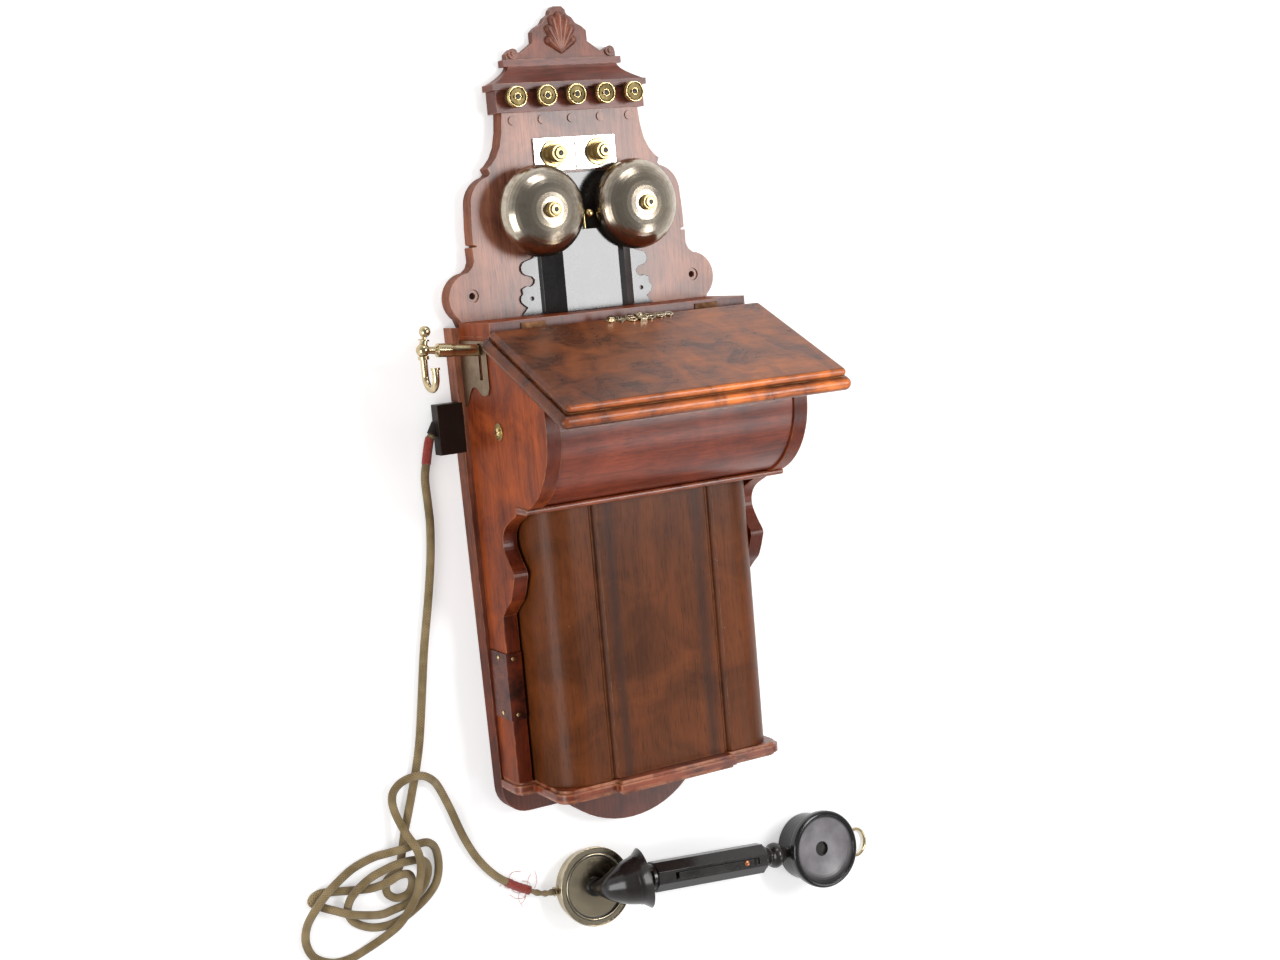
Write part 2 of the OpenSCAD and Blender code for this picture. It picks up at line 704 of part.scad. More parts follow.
module drum_front() {
  outer = round_r - drum_recess;
  inner = outer - drum_t;
  color("maroon") along_x(-cheek_inner, cheek_inner) {
    intersection() {
      translate([round_y, round_z]) difference() {
        circle(r = outer, $fn = 128);
        circle(r = inner, $fn = 128);
      }
      translate([ledge_top_y, round_z]) square([round_y - ledge_top_y, outer]);
    }
    polygon([[round_y, round_z + inner], [round_y, round_z + outer],
      [under_lid_y(round_z + outer), round_z + outer], [under_lid_y(round_z + inner), round_z + inner]]);
  }
}

// Plates and knuckles of one hinge pair share this frame: X along the axis, from the hinge's middle
module at_hinges() {
  for (x = [-hinge_x, hinge_x]) translate([x, hinge_y, hinge_z]) children();
}

knuckle_gap = 0.3;

module lid_hinges() {
  color("goldenrod") at_hinges() {
    for (side = [-1, 1]) translate([side * (knuckle_l + knuckle_gap), 0, 0]) {
      rod_x(-knuckle_l / 2, knuckle_l / 2, barrel_r);
      box([-knuckle_l / 2, -0.7, top_board_z - hinge_z], [knuckle_l / 2, 0.7, -barrel_r + 0.5]);
    }
    rod_x(-knuckle_l * 1.5, knuckle_l * 1.5, barrel_pin_r);
    box([-knuckle_l * 1.5, -2.2, top_board_z - hinge_z], [knuckle_l * 1.5, 7, top_board_z - hinge_z + 1]);
  }
}

module lid_leaf() {
  rotate(hinge_rot) translate([-knuckle_l / 2, -1, 1]) cube([knuckle_l, 1, 16]);
}

module lid_hinge_leaves() {
  color("goldenrod") at_hinges() difference() {
    union() {
      rod_x(-knuckle_l / 2, knuckle_l / 2, barrel_r);
      lid_leaf();
    }
    rod_x(-knuckle_l, knuckle_l, barrel_pin_r + run_gap);
  }
}

module in_lid() translate([0, lid_rear_y, lid_rear_z]) rotate(hinge_rot) children();

module desk_lid() {
  color("chocolate") difference() {
    in_lid() {
      translate([0, 0, lid_setback]) bullnose_board(lid_w - 2 * lid_setback, lid_upper_t,
        lid_l - 2 * lid_setback);
      translate([0, -lid_upper_t, 0]) bullnose_board(lid_w, lid_lower_t, lid_l);
    }
    at_hinges() lid_leaf();
  }
}

// Flat ring that lies on the lid
module clip_ring(x, s, r, w) translate([x, 0, s]) rotate([-90, 0, 0]) difference() {
  cylinder(h = 1.4, r = r, $fn = 32);
  translate([0, 0, -1]) cylinder(h = 4, r = r - w, $fn = 32);
}

module paper_clip() {
  middle = 7;
  color("goldenrod") in_lid() translate([middle, 0, 0]) {
    translate([-30, 0, 11]) cube([60, 1.4, 2.4]);
    for (side = [-1, 1]) {
      clip_ring(side * 9, 13, 6, 2);
      clip_ring(side * 20, 12, 5, 1.8);
      clip_ring(side * 30, 12, 4, 1.6);
    }
    translate([-3.5, 0, 8]) cube([7, 3, 12]);
    translate([-32, 0, 10]) cube([5, 4, 4]);
    translate([0, 2.5, 11]) sphere(r = 2.5, $fn = 24);
  }
}

// Holes through a magneto end plate for the armature and the crank shaft
module magneto_bores() {
  translate([0, crank_y, crank_z]) rod_x(-frame_x - 10, frame_x + 10, crank_shaft_r + run_gap);
  translate([0, crank_y, pinion_z]) rod_x(-frame_x - 10, frame_x + 10, 3 + run_gap);
}

module magneto_frame() {
  half_y = 36;
  color("goldenrod") difference() {
    for (x = [-frame_x - frame_plate_t, frame_x])
      box([x, crank_y - half_y, board_t], [x + frame_plate_t, crank_y + half_y, crank_z + 12]);
    magneto_bores();
  }
}

magnet_outer = 34;
magnet_gap = 1;

module magneto_magnets() {
  bar_w = (2 * magnet_hl - 2 * magnet_gap) / 3;
  inner = magnet_outer - magnet_t;
  color("dimgray") for (i = [0:2]) {
    x0 = -magnet_hl + i * (bar_w + magnet_gap);
    along_x(x0, x0 + bar_w) {
      intersection() {
        translate([crank_y, crank_z]) difference() {
          circle(r = magnet_outer, $fn = 96);
          circle(r = inner, $fn = 96);
        }
        translate([crank_y - magnet_outer, crank_z]) square([2 * magnet_outer, magnet_outer]);
      }
      for (y = [crank_y - magnet_outer, crank_y + inner])
        translate([y, board_t]) square([magnet_t, crank_z - board_t]);
    }
  }
}

module pole_pieces() {
  inner = magnet_outer - magnet_t;
  color("gray") difference() {
    for (side = [-1, 1])
      translate([0, crank_y + side * (inner / 2 + 2), board_t + 17])
        cube([2 * magnet_hl, inner - 4, 34], center = true);
    translate([0, crank_y, pinion_z]) rod_x(-magnet_hl - 1, magnet_hl + 1, armature_r + 0.8, 96);
  }
}

// Gear outline: straight-sided teeth standing on a disc
module gear_outline(teeth, turn) {
  pitch = gear_module * teeth / 2;
  root = pitch - 1.15 * gear_module;
  tip = pitch + 0.8 * gear_module;
  step = 360 / teeth;
  polygon([for (i = [0:teeth - 1], k = [0:3])
    let (r = k == 1 || k == 2 ? tip : root, a = turn + step * (i + [-0.24, -0.1, 0.1, 0.24][k]))
    [r * cos(a), r * sin(a)]]);
}

module drive_gear() {
  color("goldenrod") translate([gear_x, crank_y, crank_z]) rotate([90, 0, 90])
    linear_extrude(gear_t) difference() {
    gear_outline(gear_teeth, -90);
    circle(r = crank_shaft_r, $fn = 48);
  }
}

module armature() {
  color("gray") translate([0, crank_y, pinion_z]) {
    rod_x(-magnet_hl, magnet_hl, armature_r, 96);
    rod_x(-frame_x - frame_plate_t - 1, -magnet_hl, 3);
    rod_x(magnet_hl, gear_x - 0.5, 3);
    translate([gear_x - 0.5, 0, 0]) rotate([90, 0, 90]) linear_extrude(gear_t + 1)
      gear_outline(pinion_teeth, 90 + 180 / pinion_teeth);
  }
}

crank_x = box_hw + 4;
crank_arm_t = 5;

module crank() {
  color("silver") translate([0, crank_y, crank_z]) {
    rod_x(-frame_x - frame_plate_t - 1, crank_x, crank_shaft_r);
    rod_x(crank_x, crank_x + crank_arm_t, 8);
    translate([crank_x, 0, -5]) cube([crank_arm_t, crank_arm_l, 10]);
    translate([0, crank_arm_l, 0]) rod_x(crank_x, crank_x + crank_arm_t, 7);
  }
}

module crank_knob() {
  color("black") translate([crank_x + crank_arm_t, crank_y + crank_arm_l, crank_z]) rotate([0, 90, 0])
    rotate_extrude($fn = 48) polygon(concat([[0, 0], [5, 0]],
      smooth([[5, 0], [5.5, 4], [8, 12], [9, 19], [7.5, 25], [3, 28]], 4), [[0, 28]]));
}

module crank_bush() {
  color("goldenrod") translate([0, crank_y, crank_z]) difference() {
    union() {
      rod_x(cheek_inner, box_hw + 2, crank_shaft_r + 4);
      rod_x(box_hw, box_hw + 2, crank_shaft_r + 8);
    }
    rod_x(cheek_inner - 1, box_hw + 3, crank_shaft_r + run_gap);
  }
}

module induction_coil() {
  x = 26.3 - cheek_inner;
  color("darkgreen") translate([x, -100, board_t + 14]) rotate([90, 0, 0]) cylinder(h = 60, r = 12, $fn = 48);
  color("sienna") for (y = [-164, -100])
    box([x - 14, y, board_t], [x + 14, y + 4, board_t + 28]);
}

// Scalloped plate round the hook's slot
module hook_plate() {
  x0 = -box_hw - plate_t;
  foot = smooth([[hook_pivot_y - 31.6, 67], [hook_pivot_y - 33, 60], [hook_pivot_y - 31.6, 53],
    [hook_pivot_y - 27, 46], [hook_pivot_y - 26, 38], [hook_pivot_y - 30, 31],
    [hook_pivot_y - 38, 25], [hook_pivot_y - 43.5, 19]], 4);
  color("darkkhaki") difference() {
    along_x(x0, -box_hw) polygon(concat(
      [[hook_pivot_y + 15, board_t], [hook_pivot_y + 15, 70.5], [hook_pivot_y - 26, 70.5]],
      foot, [[hook_pivot_y - 43.5, board_t]]));
    box([x0 - 1, hook_pivot_y - 19, hook_z - hook_slot_hw],
      [-box_hw + 1, hook_pivot_y + 13, hook_z + hook_slot_hw]);
  }
}

hook_pin_r = 2;
hook_boss_h = 9;

module hook_bracket() {
  top = hook_z - hook_boss_h / 2 - part_gap;
  color("goldenrod") {
    box([hook_pivot_x - 9, hook_pivot_y - 9, board_t], [hook_pivot_x + 9, hook_pivot_y + 9, top]);
    translate([hook_pivot_x, hook_pivot_y, top])
      cylinder(h = hook_boss_h + 2 * part_gap, r = hook_pin_r, $fn = 32);
    translate([hook_pivot_x, hook_pivot_y, top + hook_boss_h + 2 * part_gap])
      cylinder(h = 1.5, r = 4, $fn = 32);
  }
}

module contact_springs() {
  x = hook_pivot_x + 34;
  y = hook_pivot_y + 5.5;
  color("sienna") box([x, y, board_t], [x + 14, y + 12, hook_z - 4]);
  color("goldenrod") for (k = [0:2])
    box([x - 22, y + 5 * k, hook_z - 4], [x + 14, y + 5 * k + 0.6, hook_z + 4]);
}

module in_hook() translate([hook_pivot_x, hook_pivot_y, hook_z]) rotate([0, 0, -hook_rise])
  mirror([1, 0, 0]) children();

hook_blade_l = box_hw + plate_t + hook_pivot_x + 2.5;

module hook_lever() {
  color("darkgoldenrod") in_hook() difference() {
    union() {
      translate([0, 0, -hook_boss_h / 2]) cylinder(h = hook_boss_h, r = 6.5, $fn = 48);
      box([0, -4.6, -blade_t / 2], [hook_blade_l, 4.6, blade_t / 2]);
      box([-16, -2.5, -blade_t / 2], [0, 2.5, blade_t / 2]);
    }
    translate([0, 0, -hook_boss_h]) cylinder(h = hook_boss_h * 2, r = hook_pin_r + run_gap, $fn = 32);
  }
}

hook_ball_r = 5.9;

module hook_rod() {
  color("darkgoldenrod") in_hook() {
    rod_x(hook_blade_l, hook_reach - 29, hook_rod_r);
    translate([hook_reach - 29, 0, 0]) rotate([0, 90, 0])
      cylinder(h = 4, r1 = hook_rod_r, r2 = hook_rod_r + 0.8, $fn = 48);
    rod_x(hook_reach - 25, hook_reach - 13, hook_rod_r + 0.8);
    translate([hook_reach - 13, 0, 0]) rotate([0, 90, 0])
      cylinder(h = 2, r1 = hook_rod_r + 0.8, r2 = 3.2, $fn = 48);
    rod_x(hook_reach - 11, hook_reach, 3.2);
    translate([hook_reach, 0, 0]) {
      sphere(r = hook_ball_r, $fn = 48);
      rotate([0, 0, hook_rise]) rotate([-90, 0, 0]) {
        cylinder(h = 8, r = 3.4, $fn = 32);
        translate([0, 0, 8]) cylinder(h = 1.3, r = 4.8, $fn = 32);
        translate([0, 0, 9]) cylinder(h = 4, r = 2, $fn = 24);
        translate([0, 0, 16]) sphere(r = 5, $fn = 48);
      }
    }
  }
}

hook_end = [hook_pivot_x - hook_reach * cos(hook_rise), hook_pivot_y + hook_reach * sin(hook_rise)];

module hook_wire() {
  stem = 17;
  tip = 5.5;
  color("darkgoldenrod") translate([hook_end.x, hook_end.y, hook_z]) {
    rotate([90, 0, 0]) translate([0, 0, hook_ball_r - 0.8]) {
      cylinder(h = 3, r = 4.8, $fn = 32);
      cylinder(h = stem, r = hook_wire_r, $fn = 32);
    }
    translate([0, -stem - hook_ball_r + 0.8, hook_bend_r]) {
      rotate([90, 0, 90]) rotate([0, 0, 180]) rotate_extrude(angle = 90, $fn = 48)
        translate([hook_bend_r, 0]) circle(r = hook_wire_r, $fn = 24);
      rotate([90, 0, 90]) rotate([0, 0, 90]) rotate_extrude(angle = 90, $fn = 48)
        translate([hook_bend_r, 0]) circle(r = hook_wire_r, $fn = 24);
      translate([0, 0, hook_bend_r]) rotate([-90, 0, 0]) cylinder(h = tip, r = hook_wire_r, $fn = 32);
      translate([0, tip, hook_bend_r]) rotate([-90, 0, 0]) cylinder(h = 2, r = hook_wire_r + 1, $fn = 32);
    }
  }
}

module side_boss() {
  color("goldenrod") translate([0, crank_y, crank_z]) {
    rod_x(-box_hw - 1.2, -box_hw, 7.3);
    rod_x(-box_hw - 2.2, -box_hw - 1.2, 4);
  }
}

// The cord leaves the block through a slanting nozzle on its outer side
gland_dir = [-0.5, -0.87, 0];
gland_at = [cord_block_x - 1, -114, 8];

module cord_block() {
  color([0.08, 0.08, 0.08]) {
    box([cord_block_x, cord_block_foot, board_t - cord_block_t], [cord_seat_x, cord_block_top, board_t]);
    translate(gland_at) rotate([90, 0, 0]) rotate([0, -30, 0]) translate([0, 0, -6])
      cylinder(h = 11, r = cord_r + 1, $fn = 32);
  }
}

module wear_plate() {
  side_x = -box_hw;
  color([0.25, 0.1, 0.05]) {
    box([side_x - plate_t, wear_foot_y, board_t + 1], [side_x, wear_top_y, rail_z + plate_t]);
    box([side_x, wear_foot_y, rail_z], [-cheek_inner, wear_top_y, rail_z + plate_t]);
  }
  color("goldenrod") for (y = [wear_foot_y + 5, wear_top_y - 5]) {
    translate([0, y, (board_t + rail_z) / 2]) rod_x(side_x - plate_t - 0.8, side_x - plate_t, 1.6, 24);
    translate([side_x + cheek_t / 2, y, rail_z + plate_t]) cylinder(h = 0.8, r = 1.6, $fn = 24);
  }
}

// Plan of the shelf, drawn in by an inset all round its front
module shelf_plan(inset) {
  corner = 12;
  side_hw = shelf_side_hw - inset;
  side_z = shelf_side_z - inset;
  rear_hw = lower_foot_w / 2 - inset;
  rear_z = rail_z + 2 - inset;
  translate([-rear_hw, board_t]) square([2 * rear_hw, rear_z - board_t - 8]);
  both_sides() translate([rear_hw - 8, rear_z - 8]) circle(r = 8, $fn = 48);
  translate([-rear_hw + 8, board_t]) square([2 * rear_hw - 16, rear_z - board_t]);
  translate([-side_hw, board_t]) square([2 * side_hw, side_z - board_t - corner]);
  both_sides() translate([side_hw - corner, side_z - corner]) circle(r = corner, $fn = 48);
  translate([-side_hw + corner, board_t]) square([2 * (side_hw - corner), side_z - board_t]);
  translate([-shelf_mid_hw + inset, board_t])
    square([2 * (shelf_mid_hw - inset), shelf_mid_z - inset - board_t]);
}

module bottom_shelf() {
  bead = 2.5;
  color("peru") {
    along_y(shelf_foot_y, shelf_foot_y + bead) shelf_plan(bead);
    along_y(shelf_foot_y + bead, shelf_top_y - bead) shelf_plan(0);
    along_y(shelf_top_y - bead, shelf_top_y) shelf_plan(bead);
  }
}

// The cells stand side by side, and stay inside a narrower cover
cell_x = min(cell_w / 2 + 9, cover_hw - cover_wall - cell_w / 2 - 1);
cell_foot_y = shelf_top_y + part_gap;

module battery_cells() {
  color("slategray") both_sides()
    box([cell_x - cell_w / 2, cell_foot_y, board_t],
      [cell_x + cell_w / 2, cell_foot_y + cell_h, board_t + cell_d]);
}

module battery_tops() {
  top = cell_foot_y + cell_h;
  color("black") both_sides()
    box([cell_x - cell_w / 2 + 2, top, board_t + 2],
      [cell_x + cell_w / 2 - 2, top + 3, board_t + cell_d - 2]);
  color("goldenrod") both_sides() for (x = [cell_x - 24, cell_x + 24])
    translate([x, top + 3, board_t + cell_d / 2]) rotate([-90, 0, 0]) {
      cylinder(h = 6, r = 5, $fn = 32);
      cylinder(h = 12, r = 3, $fn = 32);
    }
  color("goldenrod") box([-cell_x + 24, top + 9, board_t + cell_d / 2 - 2],
    [cell_x - 24, top + 10, board_t + cell_d / 2 + 2]);
}

// Section of the battery cover at a given inset from its outer face
module cover_plan(inset) {
  hw = cover_hw - inset;
  front = cover_z - inset;
  r = cover_corner_r - inset;
  difference() {
    translate([-hw, 30]) square([2 * hw, front - 30]);
    both_sides() translate([hw - r, front - r]) difference() {
      square(r + 1);
      circle(r = r, $fn = 96);
    }
  }
}

cover_back_z = 40;

module battery_cover() {
  color("olive") along_y(shelf_top_y + part_gap, ledge_foot_y - part_gap) difference() {
    cover_plan(0);
    cover_plan(cover_wall);
    translate([-cover_hw, 0]) square([2 * cover_hw, cover_back_z]);
    both_sides() translate([groove_x, cover_z])
      polygon([[-groove_d, 0.1], [groove_d, 0.1], [0.6, -groove_d], [-0.6, -groove_d]]);
  }
}

// The handset's frame: X from the transmitter to the receiver, Z out of the faces
module in_handset() translate([handset_at.x, handset_at.y, handset_lift])
  rotate([0, 0, handset_turn]) rotate([handset_roll, 0, 0]) children();

flange_z = transmitter_h - 5;
receiver_case_r = ear_r_out - 5;
handle_u1 = handset_l - receiver_case_r - neck_l;
cord_socket_h = cord_r + 1.75;
cord_socket_l = 5;

module transmitter_case() {
  color("silver") in_handset() {
    cylinder(h = flange_z, r = transmitter_r - 3, $fn = 96);
    translate([4 - transmitter_r, 0, cord_socket_h]) rotate([0, -90, 0])
      cylinder(h = cord_socket_l + 1, r = cord_r + 0.8, $fn = 32);
    box([transmitter_r - 6, -7, 3], [handle_u0 - 4, 7, flange_z]);
    box([transmitter_r + 11, -7, 3], [handle_u0 - 4, 7, handle_axis_h + 4]);
  }
}

module transmitter_ring() {
  lip = 7.5;
  color("lightgray") in_handset() translate([0, 0, flange_z]) difference() {
    cylinder(h = 5, r = transmitter_r, $fn = 96);
    translate([0, 0, 3]) cylinder(h = 3, r = transmitter_r - lip, $fn = 96);
    for (a = [45:90:315]) rotate([0, 0, a + 10]) translate([transmitter_r - 2.5, -1.5, 3.6]) cube([4, 3, 2]);
    translate([0, 0, 4.4]) difference() {
      cylinder(h = 2, r = transmitter_r - 1, $fn = 96);
      translate([0, 0, -1]) cylinder(h = 4, r = transmitter_r - lip + 1.6, $fn = 96);
    }
  }
}

// Middle line and radius of the horn, from its collar to its mouth
horn_foot_z = transmitter_h - 2;
horn_line = smooth([[0, 0, 0], [0.3, 0, 5], [2.5, 0, 10.5], [7.5, 0, 16], [17, 0, 20], [25, 0, 22.5],
  [30.5, 0, 24], [34, 0, 24.8], [37.5, 0, 25.5]], 3);
horn_radii = smooth([[6.6], [7], [9.5], [14.2], [19.2], [21.7], [23.2], [horn_mouth_r - 3],
  [horn_mouth_r]], 3);

// Ring of the horn, tipped with its middle line
function horn_ring(i, shrink, n) =
  let (dir = heading(horn_line, i), side = [0, 1, 0], up = cross(dir, side))
  [for (k = [0:n - 1]) horn_line[i]
    + (horn_radii[i][0] - shrink) * (cos(360 * k / n) * side + sin(360 * k / n) * up)];

module horn_solid(shrink, first, last) {
  n = 32;
  m = last - first + 1;
  points = [for (i = [first:last]) each horn_ring(i, shrink, n)];
  walls = [for (i = [0:m - 2], k = [0:n - 1])
    let (a = i * n + k, b = i * n + (k + 1) % n)
    each [[a, b + n, b], [a, a + n, b + n]]];
  polyhedron(points = points, faces = concat(walls,
    [[for (k = [0:n - 1]) k]], [[for (k = [n - 1:-1:0]) (m - 1) * n + k]]), convexity = 6);
}

module horn() {
  last = len(horn_line) - 1;
  color([0.05, 0.05, 0.05]) in_handset() translate([0, 0, horn_foot_z]) {
    cylinder(h = 2.5, r = 9.2, $fn = 48);
    translate([0, 0, 2.5]) rotate([0, 0, horn_turn]) difference() {
      horn_solid(0, 0, last);
      translate(0.05 * heading(horn_line, last)) horn_solid(horn_wall, 3, last);
    }
  }
}

handle_r = handle_w / 2 / cos(22.5);
talk_u1 = handle_u1 - 13;
talk_u0 = talk_u1 - min(talk_l, handle_u1 - handle_u0 - 31);

module handset_handle() {
  color([0.06, 0.06, 0.06]) in_handset() translate([0, 0, handle_axis_h]) difference() {
    union() {
      translate([handle_u0, 0, 0]) rotate([0, 90, 0]) rotate([0, 0, 22.5])
        cylinder(h = handle_u1 - handle_u0, r = handle_r, $fn = 8);
      rod_x(handle_u0 - 4, handle_u0, handle_w / 2 - 1);
    }
    box([talk_u0 - 3, -talk_w / 2 - 0.5, handle_w / 2 - 6],
      [talk_u1 + 4, talk_w / 2 + 0.5, handle_w / 2 + 1]);
  }
}

module handset_neck() {
  reach = handset_l - receiver_case_r - handle_u1;
  color([0.05, 0.05, 0.05]) in_handset() translate([handle_u1, 0, handle_axis_h]) rotate([0, 90, 0])
    rotate_extrude($fn = 64) polygon(concat([[0, 0]],
      smooth([[12.4, 0], [12, 3], [9.5, 7], [9, 10], [11.5, 13], [12.6, 17], [11.5, 21], [8.6, 24.5],
        [6.6, 28], [6.2, 30], [6.2, reach]], 4),
      [[0, reach]]));
}

talk_pivot_z = handle_axis_h + handle_w / 2 - 2.2;

module talk_lever() {
  color([0.1, 0.1, 0.1]) in_handset() {
    box([talk_u0, -talk_w / 2, talk_pivot_z - 0.8], [talk_u1 - 3, talk_w / 2, talk_pivot_z + 3.4]);
    translate([talk_u1, 0, talk_pivot_z]) rotate([90, 0, 0]) translate([0, 0, -talk_w / 2])
      cylinder(h = talk_w, r = 3.2, $fn = 32);
  }
  color("peru") in_handset() translate([talk_u1 - 11.5, 0, talk_pivot_z + 3.4])
    cylinder(h = 1, r = 2.4, $fn = 24);
}

ear_cap_h = 11;

module receiver_case() {
  eye_x = ring_eye_u - handset_l;
  color([0.05, 0.05, 0.05]) in_handset() translate([handset_l, 0, 0])
    cylinder(h = receiver_h - ear_cap_h, r = receiver_case_r, $fn = 96);
  color("goldenrod") in_handset() at_ring_eye() difference() {
    union() {
      rod_x(receiver_case_r - 0.2 - eye_x, -2.5, 1.8, 32);
      rotate([90, 0, 0]) cylinder(h = 2.4, r = 4, center = true, $fn = 48);
    }
    rotate([90, 0, 0]) cylinder(h = 4, r = ring_wire_r + 0.35, center = true, $fn = 32);
  }
}

module ear_cap() {
  h = ear_cap_h;
  r = ear_r_out;
  color([0.05, 0.05, 0.05]) in_handset() translate([handset_l, 0, receiver_h - h]) rotate_extrude($fn = 96)
    polygon(concat([[ear_hole_r, 0], [r - 5, 0]], arc([r - 4, 4], 4, -60, 0, 4),
      arc([r - 3, h - 3], 3, 0, 90, 5), [[r - 4.5, h]],
      smooth([[r - 5, h - 1.2], [r - 12, h - 4.6], [r - 22, h - 7.2], [ear_hole_r, h - 8]], 4)));
}

ring_eye_u = handset_l + ear_r_out + 11;
ring_eye_h = 3;
// The free end of the ring rests on the surface
ring_drop = asin((handset_lift + ring_eye_h * cos(handset_roll) - ring_wire_r - part_gap) / (2 * ring_r));

// The eye stands out from the receiver's side, a little off the handset's middle line
module at_ring_eye() translate([handset_l, 0, ring_eye_h]) rotate([0, 0, ring_turn])
  translate([ring_eye_u - handset_l, 0, 0]) children();

module hanging_ring() {
  color("darkgoldenrod") in_handset() at_ring_eye() rotate([0, ring_drop, 0])
    translate([ring_r, 0, 0]) rotate_extrude($fn = 64) translate([ring_r, 0])
      circle(r = ring_wire_r, $fn = 24);
}

// Route of the cord from the terminal block down to the tangle
cord_floor = cord_r + 0.05;
gland_end = gland_at + 5 * gland_dir;
run_route = [
  gland_end + 2.5 * gland_dir, gland_end + 7 * gland_dir, [-169, -142, 5], [-171.5, -158,
    cord_floor], [-171, -180, cord_floor],
  [-171, -200, cord_floor], [-174, -230, cord_floor], [-180, -265, cord_floor], [-189, -310, cord_floor],
  [-196, -354, cord_floor], [-202, -390, cord_floor], [-208, -415, cord_floor], [-214, -435, cord_floor],
  [-221, -457, cord_floor], [-225, -469, cord_floor], [-227, -477, cord_floor]
];

// Route of the tangle: one knot turn and three open loops, in order along the cord
tangle_route = [
  [-227, -477, cord_floor], [-229, -485, 3.8], [-233, -499, 3.9], [-239, -505, 4.2], [-247, -510, 4.6],
  [-248, -521, 4.8], [-239, -528, 4.8], [-228, -526, 5.2], [-224, -516, 7], [-228, -507, 10.5],
  [-238, -505, 12.8], [-249, -508.5, 12.8], [-262, -512, 8], [-276, -511.5, 3.8], [-296, -508, 3.8],
  [-311, -506.5, 3.9], [-318, -512, 3.9], [-309, -519, 4], [-298, -524, 8.5], [-286, -529, 13.5],
  [-270, -534, 12.4], [-256, -538, 8], [-244, -538, 4.6], [-231, -536, 4], [-219, -530, 4],
  [-210, -520, 4], [-207, -507, 5], [-213, -498, 8], [-226, -494.5, 12.4], [-240, -494.5, 13],
  [-252, -497, 12.8], [-265, -501, 12.6], [-278, -508, 13.5], [-285, -518, 9.2], [-286, -530, 3.8],
  [-281, -540, 3.9], [-268, -548, 3.9], [-253, -551, 3.8], [-238, -549, 3.8], [-224, -543, 3.9],
  [-210, -534, 3.9], [-200, -523, 3.9], [-196, -508, 4], [-198, -492, 5.5], [-206, -483, 9.5],
  [-218, -481, 12.5], [-232, -482, 12.8], [-246, -483, 11], [-259, -485, 7], [-278, -491, 5.5],
  [-295, -498.5, 10], [-307, -506, 12.6], [-318, -517, 12.6], [-325, -531, 7], [-327, -547, 4],
  [-321, -562, 3.9], [-306, -571, 3.9], [-289, -572, 3.9], [-272, -567, 4.4], [-256, -559, 8.3],
  [-243, -550, 12.7], [-232, -539, 13], [-225, -528, 15], [-222, -516, 18], [-220, -503, 20.8],
  [-220, -491, 21.2], [-223, -480, 20.9], [-228, -469, 16.5], [-232, -456, 9.5], [-234, -446, 6]
];

// Place of a point of the handset's own frame
cord_end_u = transmitter_r - 3 + cord_socket_l;
function from_handset(p) =
  let (y = p.y * cos(handset_roll) - p.z * sin(handset_roll),
       z = p.y * sin(handset_roll) + p.z * cos(handset_roll))
  [handset_at.x + p.x * cos(handset_turn) - y * sin(handset_turn),
   handset_at.y + p.x * sin(handset_turn) + y * cos(handset_turn), handset_lift + z];

// Route from the tangle over the run and on to the transmitter
handset_route = [
  [-234, -446, 6], [-234.5, -438, 5.5], [-233, -430, 7.5], [-227, -423, 10.5], [-217, -419.5, 12.4],
  [-207, -420, 12.4], [-197, -426, 9], [-189, -436, 5], [-180, -457, cord_floor], [-169, -488, cord_floor],
  [-157, -512, cord_floor], [-142, -531, cord_floor], [-125, -544.5, cord_floor], [-112, -552, 4.6],
  [-103, -556.5, 8], from_handset([-cord_end_u - 9, 0, cord_socket_h]),
  from_handset([-cord_end_u - 3, 0, cord_socket_h])
];

// The whole cord is one smooth path with straight ends, which nowhere sinks into the surface
function settle(p) = [p.x, p.y, max(p.z, cord_floor)];
run_last = (len(run_route) - 1) * 3 + 1;
tangle_last = run_last + (len(tangle_route) - 1) * 3;
cord_points = concat([gland_end],
  [for (q = smooth(concat(run_route,
    [for (i = [1:len(tangle_route) - 1]) tangle_route[i]],
    [for (i = [1:len(handset_route) - 1]) handset_route[i]]), 3)) settle(q)],
  [from_handset([-cord_end_u, 0, cord_socket_h])]);
cord_headings = [for (i = [0:len(cord_points) - 1]) heading(cord_points, i)];
cord_last = len(cord_points) - 1;
echo(cord_self_gap = self_gap(cord_points, cord_r, 9));
echo(cord_length = cord_length(cord_points));

// Length of a route
function cord_length(p) = unit_sum([for (i = [1:len(p) - 1]) norm(p[i] - p[i - 1])]);
function unit_sum(v) = v * [for (x = v) 1];

// Stretch of the cord between two of its points
module cord_stretch(first, last, n) {
  m = last - first + 1;
  rings = [for (i = [first:last]) each ring_at(cord_points[i], cord_headings[i], cord_r, n)];
  walls = [for (i = [0:m - 2], k = [0:n - 1])
    let (a = i * n + k, b = i * n + (k + 1) % n)
    each [[a, b, b + n], [a, b + n, a + n]]];
  ends = [
    [for (k = [n - 1:-1:0]) k],
    [for (k = [0:n - 1]) (m - 1) * n + k]
  ];
  color("darkolivegreen") polyhedron(points = rings, faces = concat(walls, ends), convexity = 8);
}

module cord_run() cord_stretch(0, run_last, 8);
module cord_tangle() cord_stretch(run_last, tangle_last, 8);
module cord_to_handset() cord_stretch(tangle_last, cord_last, 8);

